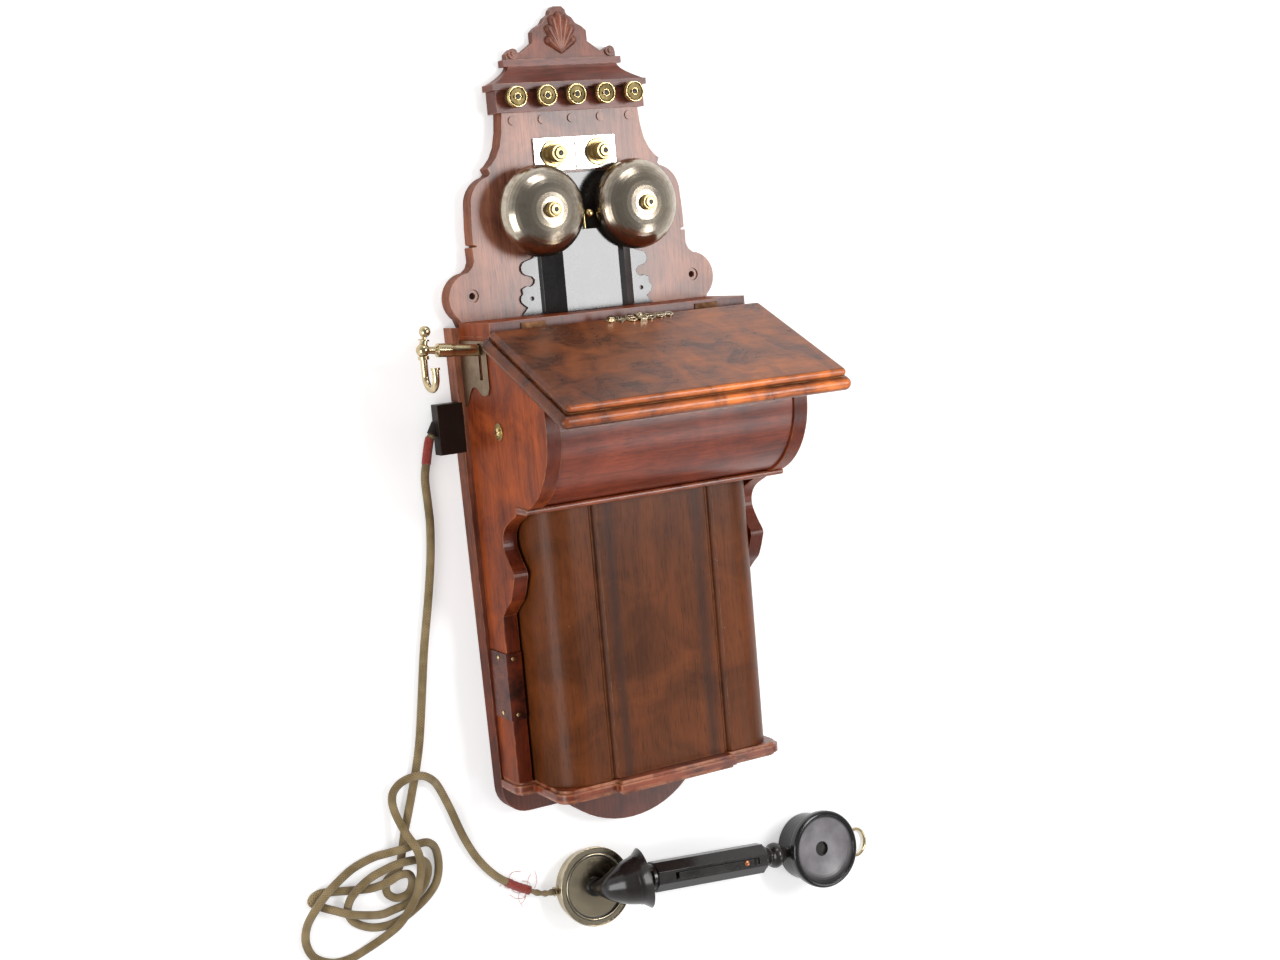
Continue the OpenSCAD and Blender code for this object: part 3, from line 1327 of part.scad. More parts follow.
backboard();
cornice_block();
cornice_moulding();
crest_carving();
line_terminals();
post_plugs();
arrester_plate();
arrester_nuts();
ringer_base();
ringer_cover();
ringer_coils();
clapper_pin();
clapper();
gong_posts();
gong_left();
gong_right();
gong_nuts();
top_board();
left_cheek();
right_cheek();
desk_ledge();
drum_front();
lid_hinges();
lid_hinge_leaves();
desk_lid();
paper_clip();
magneto_frame();
magneto_magnets();
pole_pieces();
armature();
drive_gear();
crank();
crank_knob();
crank_bush();
induction_coil();
hook_plate();
hook_bracket();
contact_springs();
hook_lever();
hook_rod();
hook_wire();
side_boss();
cord_block();
wear_plate();
bottom_shelf();
battery_cells();
battery_tops();
battery_cover();
transmitter_case();
transmitter_ring();
horn();
handset_handle();
handset_neck();
talk_lever();
receiver_case();
ear_cap();
hanging_ring();
cord_run();
cord_tangle();
cord_to_handset();
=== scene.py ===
# %% [markdown]
# # A magneto wall telephone, lying on a white table
#
# The telephone's wooden set lies on its back. Its handset lies beside it, and a braided cord joins the two.
# The solid pieces come ready-made, in metres: X points right, Y towards the carved crest and Z out of the
# backboard. This lesson places the camera, lays the cord, adds the small pieces that bring the set to life,
# and gives every piece a finish made of nodes alone.

# %% Load the solid pieces
import math

import bmesh
import bpy
from mathutils import Matrix, Vector


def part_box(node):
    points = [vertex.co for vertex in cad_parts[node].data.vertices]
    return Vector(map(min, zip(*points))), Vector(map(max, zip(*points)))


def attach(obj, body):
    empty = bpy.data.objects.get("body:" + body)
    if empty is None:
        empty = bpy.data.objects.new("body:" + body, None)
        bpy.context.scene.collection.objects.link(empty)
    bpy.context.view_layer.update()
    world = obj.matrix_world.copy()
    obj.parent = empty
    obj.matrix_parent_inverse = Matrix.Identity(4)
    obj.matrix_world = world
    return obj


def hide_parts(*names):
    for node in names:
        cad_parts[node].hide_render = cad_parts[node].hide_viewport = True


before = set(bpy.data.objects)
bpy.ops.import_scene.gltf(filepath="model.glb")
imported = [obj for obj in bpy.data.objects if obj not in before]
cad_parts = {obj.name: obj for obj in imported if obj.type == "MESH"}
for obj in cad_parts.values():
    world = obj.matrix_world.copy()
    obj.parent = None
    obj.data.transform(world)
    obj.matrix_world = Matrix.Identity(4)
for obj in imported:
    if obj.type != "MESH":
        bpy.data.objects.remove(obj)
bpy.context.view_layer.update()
MM = 0.001
print("solid pieces:", len(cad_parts))

# %% [markdown]
# ## The camera
#
# A camera can be aimed by hand, but this one has to repeat a photograph. Its place and its three axes were
# solved from the straight edges of the set, so they are written here as numbers: where it stands, which way
# its right side points, which way its lower side points and which way it looks.

# %% Place the camera
camera_data = bpy.data.cameras.new("camera")
camera_data.sensor_width = 36.0
camera_data.lens = 53.37
camera_data.clip_start = 0.05
camera = bpy.data.objects.new("camera", camera_data)
bpy.context.scene.collection.objects.link(camera)

eye = Vector((-816.6, 48.6, 1560.3)) * MM
to_right = Vector((0.8659, -0.0846, 0.4929)).normalized()
to_front = Vector((0.4806, -0.1320, -0.8670)).normalized()
to_down = to_front.cross(to_right).normalized()
to_right = to_down.cross(to_front)
turn = Matrix((to_right, -to_down, -to_front)).transposed()
camera.matrix_world = Matrix.Translation(eye) @ turn.to_4x4()
bpy.context.scene.camera = camera
print("camera stands", round(eye.length, 3), "m from the origin")

# %% [markdown]
# ## Helpers for meshes
#
# Most small pieces here are tubes along a smooth line or shapes turned on a lathe. Both can be made with
# modifiers, but plain mesh code gives exact control of the number of faces and lets each ring have its own
# radius. The smooth line passes through a few given points.

# %% Smooth lines and tubes
def smooth_line(points, steps):
    """Points of a smooth curve through the given ones."""
    p = [Vector(q) for q in points]
    line = []
    for i in range(len(p) - 1):
        a, b, c, d = p[max(i - 1, 0)], p[i], p[i + 1], p[min(i + 2, len(p) - 1)]
        for k in range(steps):
            t = k / steps
            curved, twisted = 2 * a - 5 * b + 4 * c - d, 3 * b - a - 3 * c + d
            line.append(0.5 * (2 * b + (c - a) * t + curved * t * t + twisted * t**3))
    line.append(p[-1])
    return line


def line_length(line):
    """Length of a line through its points."""
    return sum((b - a).length for a, b in zip(line, line[1:]))


def tube(name, line, radius, sides=12, repeat=0.01):
    """A closed tube. radius is a number or one per point, and the UVs count turns round and lengths along."""
    mesh = bmesh.new()
    uv = mesh.loops.layers.uv.new("wrap")
    rings, along, total = [], [], 0.0
    side = None
    for i, point in enumerate(line):
        ahead = (line[min(i + 1, len(line) - 1)] - line[max(i - 1, 0)]).normalized()
        if side is None:
            side = ahead.orthogonal().normalized()
        side = (side - ahead * side.dot(ahead)).normalized()
        up = ahead.cross(side)
        r = radius[i] if isinstance(radius, (list, tuple)) else radius
        ring = []
        for k in range(sides):
            angle = 2 * math.pi * k / sides
            ring.append(mesh.verts.new(point + r * (math.cos(angle) * side + math.sin(angle) * up)))
        rings.append(ring)
        if i:
            total += (point - line[i - 1]).length
        along.append(total / repeat)
    for i in range(len(rings) - 1):
        for k in range(sides):
            n = (k + 1) % sides
            face = mesh.faces.new((rings[i][k], rings[i][n], rings[i + 1][n], rings[i + 1][k]))
            face.smooth = True
            corners = ((k, i), (k + 1, i), (k + 1, i + 1), (k, i + 1))
            for loop, (u, v) in zip(face.loops, corners):
                loop[uv].uv = (u / sides, along[v])
    mesh.faces.new(list(reversed(rings[0])))
    mesh.faces.new(rings[-1])
    return finish_mesh(name, mesh)


def finish_mesh(name, mesh):
    """Turns built mesh data into an object in the scene."""
    bmesh.ops.recalc_face_normals(mesh, faces=mesh.faces)
    data = bpy.data.meshes.new(name)
    mesh.to_mesh(data)
    mesh.free()
    piece = bpy.data.objects.new(name, data)
    bpy.context.scene.collection.objects.link(piece)
    return piece


def lathe(name, profile, place, sides=32):
    """Turns a profile of (radius, height) pairs about Z, then puts it where place says."""
    mesh = bmesh.new()
    rings = []
    angles = [2 * math.pi * k / sides for k in range(sides)]
    for r, h in profile:
        if r < 1e-6:
            rings.append([mesh.verts.new(place @ Vector((0, 0, h)))])
        else:
            rings.append(
                [mesh.verts.new(place @ Vector((r * math.cos(a), r * math.sin(a), h))) for a in angles]
            )
    for lower, upper in zip(rings, rings[1:]):
        for k in range(sides):
            n = (k + 1) % sides
            corners = [
                lower[k % len(lower)], lower[n % len(lower)], upper[n % len(upper)], upper[k % len(upper)]
            ]
            corners = list(dict.fromkeys(corners))
            if len(corners) > 2:
                mesh.faces.new(corners).smooth = True
    return finish_mesh(name, mesh)


# %% [markdown]
# ## The cord
#
# The real cord is a braided cotton hose over two wires. It leaves the black block on the set's left side,
# runs down the table, piles up in a loose tangle, crosses over itself and ends at the transmitter. It could be
# a curve with a bevel, but a mesh tube carries UVs, which the braid needs. The points, in millimetres, are the
# same as those of the solid cord. FLOOR is the height of the cord's middle where it lies on the table.

# %% Lay the cord
FLOOR = 3.8
run = [
    (-163.75, -120.53, 8), (-166, -124.44, 8), (-169, -142, 5), (-171.5, -158, FLOOR), (-171, -180, FLOOR),
    (-171, -200, FLOOR), (-174, -230, FLOOR), (-180, -265, FLOOR), (-189, -310, FLOOR), (-196, -354, FLOOR),
    (-202, -390, FLOOR), (-208, -415, FLOOR), (-214, -435, FLOOR), (-221, -457, FLOOR), (-225, -469, FLOOR),
    (-227, -477, FLOOR),
]
tangle = [
    (-229, -485, FLOOR), (-233, -499, 3.9), (-239, -505, 4.2), (-247, -510, 4.6),
    (-248, -521, 4.8), (-239, -528, 4.8), (-228, -526, 5.2), (-224, -516, 7), (-228, -507, 10.5),
    (-238, -505, 12.8), (-249, -508.5, 12.8), (-262, -512, 8), (-276, -511.5, FLOOR), (-296, -508, FLOOR),
    (-311, -506.5, 3.9), (-318, -512, 3.9), (-309, -519, 4), (-298, -524, 8.5), (-286, -529, 13.5),
    (-270, -534, 12.4), (-256, -538, 8), (-244, -538, 4.6), (-231, -536, 4), (-219, -530, 4),
    (-210, -520, 4), (-207, -507, 5), (-213, -498, 8), (-226, -494.5, 12.4), (-240, -494.5, 13),
    (-252, -497, 12.8), (-265, -501, 12.6), (-278, -508, 13.5), (-285, -518, 9.2), (-286, -530, FLOOR),
    (-281, -540, 3.9), (-268, -548, 3.9), (-253, -551, FLOOR), (-238, -549, FLOOR), (-224, -543, 3.9),
    (-210, -534, 3.9), (-200, -523, 3.9), (-196, -508, 4), (-198, -492, 5.5), (-206, -483, 9.5),
    (-218, -481, 12.5), (-232, -482, 12.8), (-246, -483, 11), (-259, -485, 7), (-278, -491, 5.5),
    (-295, -498.5, 10), (-307, -506, 12.6), (-318, -517, 12.6), (-325, -531, 7), (-327, -547, 4),
    (-321, -562, 3.9), (-306, -571, 3.9), (-289, -572, 3.9), (-272, -567, 4.4), (-256, -559, 8.3),
    (-243, -550, 12.7), (-232, -539, 13), (-225, -528, 15), (-222, -516, 18), (-220, -503, 20.8),
    (-220, -491, 21.2), (-223, -480, 20.9), (-228, -469, 16.5), (-232, -456, 9.5), (-234, -446, 6),
]
to_handset = [
    (-234.5, -438, 5.5), (-233, -430, 7.5), (-227, -423, 10.5), (-217, -419.5, 12.4), (-207, -420, 12.4),
    (-197, -426, 9), (-189, -436, 5), (-180, -457, FLOOR), (-169, -488, FLOOR), (-157, -512, FLOOR),
    (-142, -531, FLOOR), (-125, -544.5, FLOOR), (-112, -552, 4.6), (-103, -556.5, 8),
    (-95.86, -558.34, 10.65), (-89.88, -558.85, 10.65),
]
gland_end = Vector((-162.5, -118.35, 8)) * MM
socket_end = Vector((-86.89, -559.11, 10.65)) * MM
cord_line = smooth_line([Vector(p) * MM for p in run + tangle + to_handset], 6)
for point in cord_line:
    point.z = max(point.z, FLOOR * MM)
cord_line = [gland_end] + cord_line + [socket_end]
print("cord points:", len(cord_line), "length:", round(line_length(cord_line), 3), "m")

# %% Make the cord's braided hose
HOSE_RADIUS, BARE_RADIUS, BARE_END = 3.75 * MM, 2.3 * MM, 24 * MM
cord_radius, left = [], line_length(cord_line)
for i, point in enumerate(cord_line):
    left -= (point - cord_line[i - 1]).length if i else 0
    cord_radius.append(HOSE_RADIUS if left > BARE_END else BARE_RADIUS)
cord = tube("braided_cord", cord_line, cord_radius, sides=16, repeat=0.01)
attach(cord, "set")
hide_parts("cord_run", "cord_tangle", "cord_to_handset")

# %% [markdown]
# ## Places of the small fasteners
#
# Terminals, nuts and screws sit on solids that are already there. Their places could be typed in, but a
# node's own mesh gives them exactly: its vertices are sorted into separate solids, and each one's box says
# where its top is and how wide it is.

# %% Find the separate solids of a node
def solids_of(name):
    """Lowest and highest corner of each separate solid in a node."""
    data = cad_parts[name].data
    place_of = {}
    index = [place_of.setdefault(tuple(round(c, 5) for c in v.co), len(place_of)) for v in data.vertices]
    group = list(range(len(place_of)))

    def root(i):
        """The first vertex of the solid that vertex i is in, as far as it is known."""
        while group[i] != i:
            i = group[i]
        return i

    for edge in data.edges:
        a, b = root(index[edge.vertices[0]]), root(index[edge.vertices[1]])
        group[max(a, b)] = min(a, b)
    corners = {}
    for place, i in place_of.items():
        corners.setdefault(root(i), []).append(Vector(place))
    boxes = []
    for points in corners.values():
        low = Vector([min(p[k] for p in points) for k in range(3)])
        high = Vector([max(p[k] for p in points) for k in range(3)])
        boxes.append((low, high))
    return sorted(boxes, key=lambda box: box[0].x)


posts = solids_of("line_terminals")
print("line terminals:", len(posts), "top at", round(posts[0][1].z / MM, 1), "mm")

# %% [markdown]
# ## Knurls, rims and slots
#
# A knurled nut has fine teeth round its edge, which catch the light as short bright lines. A bump texture
# would fade at the outline, so the teeth are real: a ring whose points lie in turn on two radii.


# %% Knurled rings and screw heads
def knurl(name, centre, radius, low, high, teeth, tooth=0.00035):
    """A thin toothed band round a vertical nut."""
    mesh = bmesh.new()

    def ring(even, odd, z):
        """A ring of points that lie in turn on two radii."""
        points = []
        for k in range(2 * teeth):
            angle = math.pi * k / teeth
            r = odd if k % 2 else even
            points.append(mesh.verts.new((centre.x + r * math.cos(angle), centre.y + r * math.sin(angle), z)))
        return points

    steps = ((low, 0.0), (low + 0.0004, 1.0), (high - 0.0005, 1.0), (high, 0.0))
    rings = [ring(radius + 0.00003, radius + tooth * out, z) for z, out in steps]
    rings.append(ring(radius - 0.0006, radius - 0.0006, high))
    for lower, upper in zip(rings, rings[1:]):
        for k in range(2 * teeth):
            n = (k + 1) % (2 * teeth)
            mesh.faces.new((lower[k], lower[n], upper[n], upper[k]))
    return finish_mesh(name, mesh)


def screw_head(name, place, radius, rise, slot=True):
    """A domed screw head made on a lathe, and a thin bar across it, finished dark as painted shade, that
    stands in for its slot.
    """
    profile = [
        (radius, 0), (radius, rise * 0.35), (radius * 0.86, rise * 0.75), (radius * 0.5, rise * 0.96),
        (0, rise)
    ]
    head = lathe(name, profile, place, sides=24)
    if slot:
        groove = bmesh.new()
        bmesh.ops.create_cube(groove, size=1.0)
        for v in groove.verts:
            v.co = place @ Vector(
                (v.co.x * radius * 1.7, v.co.y * radius * 0.26, rise * 0.80 + v.co.z * rise * 0.5)
            )
        bmesh.ops.bevel(groove, geom=groove.edges[:], offset=radius * 0.04, segments=1, affect="EDGES")
        return head, finish_mesh(name + "_slot", groove)
    return (head,)


def top_of(low, high, drop=0.0):
    """Where the middle of a solid's top is, or a point that far below it."""
    centre = (low + high) / 2
    return Matrix.Translation((centre.x, centre.y, high.z - drop))


# %% Turn rims and knurls, and lay painted shade in holes and grooves
brass_pieces, shade_pieces, copper_pieces = [], [], []
for i, (low, high) in enumerate(posts):
    centre = (low + high) / 2
    r = (high.x - low.x) / 2
    top = top_of(low, high)
    rim = [
        (r - 0.0013, -0.0002), (r - 0.0012, 0.0003), (r - 0.0006, 0.0006), (r - 0.0001, 0.0003),
        (r + 0.00005, -0.0005), (r + 0.00005, -0.0022)
    ]
    brass_pieces.append(lathe("terminal_rim_%d" % (i + 1), rim, top, sides=48))
    ring = [(0.0034, -0.0001), (0.0034, 0.0003), (0.0030, 0.0006), (0.0025, 0.0003), (0.0024, -0.0001)]
    brass_pieces.append(lathe("terminal_ring_%d" % (i + 1), ring, top, sides=32))
    brass_pieces.append(knurl("terminal_knurl_%d" % (i + 1), centre, r, high.z - 0.0042, high.z - 0.0016, 40))
    # The hole is a flat dark disc: painted shade where the post's wire hole lies.
    shade_pieces.append(
        lathe("terminal_hole_%d" % (i + 1), [(0.0024, -0.0002), (0.0020, 0.0001), (0, 0.0001)], top, sides=20)
    )
# Each row: node, teeth, radius, how far below the top the knurl begins and ends, how deep the groove lies.
nut_rows = (
    ("arrester_nuts", 34, 0.0075, 0.011, 0.0023, 0.002),
    ("gong_nuts", 30, 0.0065, 0.0042, 0.0017, 0.0015),
)
# The groove, hole and washer shadow below are thin dark rings and discs: painted shade in the nut's groove, in
# its hole and under the washer's edge.
groove = [(0.0050, 0.0), (0.0053, 0.00012), (0.0058, 0.0)]
hole = [(0.0024, -0.0001), (0.0020, 0.00012), (0.0, 0.00012)]
shadow = [(0.0119, 0.0), (0.01195, 0.0006), (0.0125, 0.0)]
WASHER_DROP = 0.0155
for name, teeth, r, begin, end, sunk in nut_rows:
    for i, (low, high) in enumerate(solids_of(name)):
        label = name[:-1] + "_%s_" + str(i + 1)
        brass_pieces.append(knurl(label % "knurl", (low + high) / 2, r, high.z - begin, high.z - end, teeth))
        shade_pieces.append(lathe(label % "groove", groove, top_of(low, high, sunk), sides=32))
        shade_pieces.append(lathe(label % "hole", hole, top_of(low, high), sides=20))
        if name == "arrester_nuts":
            foot = top_of(low, high, WASHER_DROP)
            shade_pieces.append(lathe("washer_shadow_%d" % (i + 1), shadow, foot, sides=48))
for piece in brass_pieces + shade_pieces:
    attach(piece, "set")
print("fastener pieces:", len(brass_pieces) + len(shade_pieces))

# %% Set pins in the wear plate, and screws in the talk lever and the boss
handset_place = (
    Matrix.Translation(Vector((-48.1, -563.2, 5.2)) * MM)
    @ Matrix.Rotation(math.radians(-4.9), 4, "Z")
    @ Matrix.Rotation(math.radians(-8.0), 4, "X")
)
to_left = Matrix.Rotation(math.radians(-90), 4, "Y")
low, high = (Vector(c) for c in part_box("wear_plate"))
pins = []
for i, y in enumerate((low.y + 0.005, high.y - 0.005)):
    side = Matrix.Translation((low.x + 0.0006, y, (low.z + high.z) / 2)) @ to_left
    pins += screw_head("side_pin_%d" % (i + 1), side, 0.0018, 0.0007, slot=False)
    face = Matrix.Translation((low.x + 0.0075, y, high.z - 0.0006))
    pins += screw_head("face_pin_%d" % (i + 1), face, 0.0018, 0.0007, slot=False)
for piece in pins:
    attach(piece, "set")
brass_pieces += pins
talk_place = handset_place @ Matrix.Translation(Vector((157.0, 0, 35.0)) * MM)
head, line = screw_head("talk_screw", talk_place, 0.0026, 0.0012)
for piece in (head, line):
    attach(piece, "talk_lever")
copper_pieces.append(head)
shade_pieces.append(line)
low, high = (Vector(c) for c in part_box("side_boss"))
outer_face = Matrix.Translation((low.x, (low.y + high.y) / 2, (low.z + high.z) / 2))
head, line = screw_head("boss_screw", outer_face @ to_left, 0.0034, 0.0010)
for piece in (head, line):
    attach(piece, "set")
brass_pieces.append(head)
shade_pieces.append(line)
print("pins and screws made")

# %% [markdown]
# ## The horn
#
# The mouthpiece is a bent horn of polished ebonite: narrow at its collar, swelling as it turns over, and
# flared at the mouth. The solid has flat facets that a polished black surface would show up, so this piece
# sweeps more and finer rings along the same bent line, goes round the lip and back down inside.

# %% Sweep the horn
horn_points = [
    (0, 0, 0), (0.3, 0, 5), (2.5, 0, 10.5), (7.5, 0, 16), (17, 0, 20), (25, 0, 22.5), (30.5, 0, 24),
    (34, 0, 24.8), (37.5, 0, 25.5)
]
horn_radii = [6.6, 7, 9.5, 14.2, 19.2, 21.7, 23.2, 25.5, 28.5]
middle = smooth_line(horn_points, 6)
girth = [p.x for p in smooth_line([(r, 0, 0) for r in horn_radii], 6)]
HORN_SIDES = 72
horn_place = handset_place @ Matrix.Translation((0, 0, 0.0175)) @ Matrix.Rotation(math.radians(8.5), 4, "Z")


def horn_ring(mesh, i, radius, push=0.0):
    """A ring round point i of the horn's line, pushed ahead along it."""
    ahead = (middle[min(i + 1, len(middle) - 1)] - middle[max(i - 1, 0)]).normalized()
    side = Vector((0, 1, 0))
    up = ahead.cross(side)
    ring = []
    for k in range(HORN_SIDES):
        angle = 2 * math.pi * k / HORN_SIDES
        point = middle[i] + push * ahead + radius * (math.cos(angle) * side + math.sin(angle) * up)
        ring.append(mesh.verts.new(horn_place @ (point * MM)))
    return ring


horn_mesh = bmesh.new()
last = len(middle) - 1
ridge_at, inside_end = last - 13, 17
rings = []
for i in range(len(middle)):
    ridge = 0.45 if i == ridge_at else 0.0
    rings.append(horn_ring(horn_mesh, i, girth[i] + ridge))
rings.append(horn_ring(horn_mesh, last, girth[last] - 0.5, push=0.25))
rings.append(horn_ring(horn_mesh, last, girth[last] - 1.3, push=0.2))
for i in range(last, inside_end, -1):
    rings.append(horn_ring(horn_mesh, i, girth[i] - 1.8))
for lower, upper in zip(rings, rings[1:]):
    for k in range(HORN_SIDES):
        n = (k + 1) % HORN_SIDES
        horn_mesh.faces.new((lower[k], lower[n], upper[n], upper[k])).smooth = True
horn_mesh.faces.new(rings[-1])
horn_mesh.faces.new(list(reversed(rings[0])))
horn = finish_mesh("ebonite_horn", horn_mesh)
collar_profile = [(0, 0), (0.0092, 0), (0.0092, 0.0018), (0.0086, 0.0025), (0.0, 0.0025)]
collar = lathe("horn_collar", collar_profile, handset_place @ Matrix.Translation((0, 0, 0.015)), sides=48)
for piece in (horn, collar):
    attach(piece, "handset")
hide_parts("horn")
print("horn rings:", len(rings))

# %% [markdown]
# ## Rims of the transmitter
#
# The transmitter's face has a bright outer lip, a dark groove and a second bright ring round its inner plate.
# These are thin lathe-turned rings laid on the solid, so each edge catches its own line of light; the grooves
# are thin dark rings laid on it as painted shade.

# %% Turn the transmitter's rims
outer = [
    (0.0359, 0.0166), (0.0360, 0.0172), (0.0365, 0.0175), (0.0370, 0.0173), (0.03708, 0.0168),
    (0.03708, 0.0135)
]
inner = [(0.0294, 0.0151), (0.0296, 0.0170), (0.0303, 0.01735), (0.0310, 0.0170), (0.0311, 0.0164)]
inner_groove = [(0.0282, 0.01503), (0.0286, 0.0151), (0.0294, 0.0151)]
outer_groove = [(0.0311, 0.01643), (0.0316, 0.01648), (0.0320, 0.01643)]
rims = [
    lathe(name, profile, handset_place, sides=96)
    for name, profile in (("transmitter_rim", outer), ("transmitter_inner_rim", inner))
]
# The grooves are painted shade: thin dark rings.
grooves = [
    lathe(name, profile, handset_place, sides=96)
    for name, profile in (("transmitter_groove", inner_groove), ("transmitter_outer_groove", outer_groove))
]
for piece in rims + grooves:
    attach(piece, "handset")
print("rims:", len(rims), "grooves:", len(grooves))

# %% [markdown]
# ## Whipped ends and frayed threads
#
# Red thread is wound round the hose where it leaves the block and again before the transmitter, where its
# end has frayed. Past it the hose is drawn in to a thin core, and two leads twist round that. The windings
# follow the cord's own line, so they sit on it exactly, and a few loose threads lie round the second one.


# %% Wind the red thread
def stretch(line, start, end):
    """The part of a line between two lengths measured along it."""
    out, total = [], 0.0
    for a, b in zip(line, line[1:]):
        step = (b - a).length
        for at in (start, end):
            if total <= at < total + step:
                out.append(a.lerp(b, (at - total) / step))
        total += step
        if start < total < end:
            out.append(b.copy())
    return out


# Where each winding begins and ends: the first is measured from the block, the second from the transmitter.
FIRST_SPAN, SECOND_SPAN = (0.004, 0.027), (0.050, 0.0235)
whole = line_length(cord_line)
first_whip = tube("red_whipping_1", stretch(cord_line, *FIRST_SPAN), 0.0042, sides=20, repeat=0.001)
second_line = stretch(cord_line, whole - SECOND_SPAN[0], whole - SECOND_SPAN[1])
second_radius = [0.0043 - 0.0003 * (k % 2) for k in range(len(second_line))]
second_whip = tube("red_whipping_2", second_line, second_radius, sides=20, repeat=0.001)
for piece in (first_whip, second_whip):
    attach(piece, "set")
print("windings:", round(line_length(second_line) / MM, 1), "mm long before the transmitter")

# %% Lay the two leads and the loose threads
leads = []
tail = stretch(cord_line, whole - 0.026, whole - 0.0001)
for k in range(2):
    line = []
    for i, point in enumerate(tail):
        ahead = (tail[min(i + 1, len(tail) - 1)] - tail[max(i - 1, 0)]).normalized()
        side = ahead.cross(Vector((0, 0, 1))).normalized()
        angle = math.pi * k + i * 0.55
        line.append(point + 0.0018 * (math.cos(angle) * side + math.sin(angle) * side.cross(ahead)))
    leads.append(tube("handset_lead_%d" % (k + 1), smooth_line(line, 3), 0.0013, sides=10, repeat=0.004))
threads = []
THREADS, GOLDEN_ANGLE = 14, 2.399
for k in range(THREADS):
    turn = GOLDEN_ANGLE * k
    start = second_line[-1 if k % 3 else 0].lerp(second_line[len(second_line) // 2], 0.12 * (k % 4))
    reach = 0.008 + 0.0013 * ((k * 7) % 9)
    points = [start + Vector((0, 0, 0.001))]
    for j in range(1, 5):
        bend = turn + 0.5 * j * math.sin(1.7 * k)
        step = Vector((math.cos(bend), math.sin(bend), 0)) * reach * j / 4
        fall = start.z * (1 - j / 4) ** 1.5
        points.append(
            Vector((start.x + step.x, start.y + step.y, max(0.0006, fall + 0.0012 * math.sin(2.1 * j + k))))
        )
    threads.append(tube("loose_thread_%d" % (k + 1), smooth_line(points, 4), 0.00024, sides=5, repeat=0.004))
for piece in leads + threads:
    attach(piece, "set")
print("leads:", len(leads), "threads:", len(threads))

# %% [markdown]
# ## Light
#
# The photograph's ground is almost pure white, and soft light comes from above on the right and from the left.
# Four area lamps do that: a strong one on the right, one on the left, and two weak ones beyond the crest and
# in front that lighten those sides. The world is plain white to the camera and in reflections low down, and
# greyer overhead, so that the metal doesn't turn white.

# %% Set the world
scene = bpy.context.scene
scene.view_settings.view_transform = "Standard"
world = bpy.data.worlds.new("white tent")
scene.world = world
world.use_nodes = True


def fill(tree, node, inputs):
    """Gives sockets, by name or number, a value or a link each."""
    for key, value in dict(inputs).items():
        if isinstance(value, bpy.types.NodeSocket):
            tree.links.new(value, node.inputs[key])
        else:
            node.inputs[key].default_value = value
    return node


def add(tree, kind, inputs=(), **settings):
    """Adds a shader node and fills its sockets."""
    new = tree.nodes.new("ShaderNode" + kind)
    for key, value in settings.items():
        setattr(new, key, value)
    return fill(tree, new, inputs)


tree = world.node_tree
tree.nodes.clear()
direction = add(tree, "TexCoord")
height = add(tree, "SeparateXYZ", {0: direction.outputs["Generated"]})
ceiling = add(tree, "MapRange", {0: height.outputs["Z"], 1: 0.05, 2: 0.75, 3: 1.0, 4: 0.22})
path = add(tree, "LightPath")
shiny = add(
    tree, "Math", {0: path.outputs["Is Glossy Ray"], 1: path.outputs["Is Transmission Ray"]},
    operation="MAXIMUM"
)
ambient = add(tree, "Mix", {"Factor": shiny.outputs[0], 2: 0.40, 3: ceiling.outputs[0]}, data_type="FLOAT")
strength = add(
    tree, "Mix", {"Factor": path.outputs["Is Camera Ray"], 2: ambient.outputs[0], 3: 1.0}, data_type="FLOAT"
)
background = add(tree, "Background", {"Color": (1, 1, 1, 1), "Strength": strength.outputs[0]})
add(tree, "OutputWorld", {"Surface": background.outputs[0]})
print("world nodes:", len(tree.nodes))


# %% Hang the soft lamps
def soft_lamp(name, place, target, width, height, power):
    """An area lamp that looks from its place to the target. Its power is in watts."""
    lamp = bpy.data.lights.new(name, "AREA")
    lamp.shape = "RECTANGLE"
    lamp.size = width
    lamp.size_y = height
    lamp.energy = power
    holder = bpy.data.objects.new(name, lamp)
    scene.collection.objects.link(holder)
    holder.location = place
    aim = Vector(target) - Vector(place)
    holder.rotation_euler = aim.to_track_quat("-Z", "Y").to_euler()


soft_lamp("key lamp", (0.80, 0.04, 1.50), (0, 0.02, 0), 0.70, 0.40, 15.0)
soft_lamp("left lamp", (-1.35, -0.45, 0.75), (-0.1, -0.25, 0.05), 0.9, 0.7, 11.0)
soft_lamp("far lamp", (0.2, 1.5, 1.1), (0, 0.0, 0.05), 0.8, 0.5, 7.0)
soft_lamp("front lamp", (1.25, -1.23, 1.61), (0.15, -0.56, 0.02), 0.6, 0.6, 5.0)
print("lamps hung")

# %% Lay the white table
table_mesh = bmesh.new()
bmesh.ops.create_grid(table_mesh, x_segments=1, y_segments=1, size=4.0)
table = finish_mesh("white_table", table_mesh)
table.location = (0, 0, -0.0004)
white = bpy.data.materials.new("white table")
white.use_nodes = True
tree = white.node_tree
tree.nodes.clear()
matt = add(tree, "BsdfDiffuse", {"Color": (0.80, 0.80, 0.80, 1)})
glow = add(tree, "Emission", {"Color": (1, 1, 1, 1), "Strength": 0.42})
seen = add(tree, "LightPath")
lifted = add(tree, "AddShader", {0: matt.outputs[0], 1: glow.outputs[0]})
either = add(
    tree, "Math", {0: seen.outputs["Is Camera Ray"], 1: seen.outputs["Is Glossy Ray"]}, operation="MAXIMUM"
)
choice = add(tree, "MixShader", {0: either.outputs[0], 1: matt.outputs[0], 2: lifted.outputs[0]})
add(tree, "OutputMaterial", {"Surface": choice.outputs[0]})
table.data.materials.append(white)

# %% [markdown]
# ## Node groups for effects that return
#
# Wood grain, soft worn edges, tarnish and fine scratches are on many pieces. Each is built once as a node
# group and used with other values in each material. Inside the wood group the grain runs along Y, so a
# material first turns its coordinates until Y lies along the board.


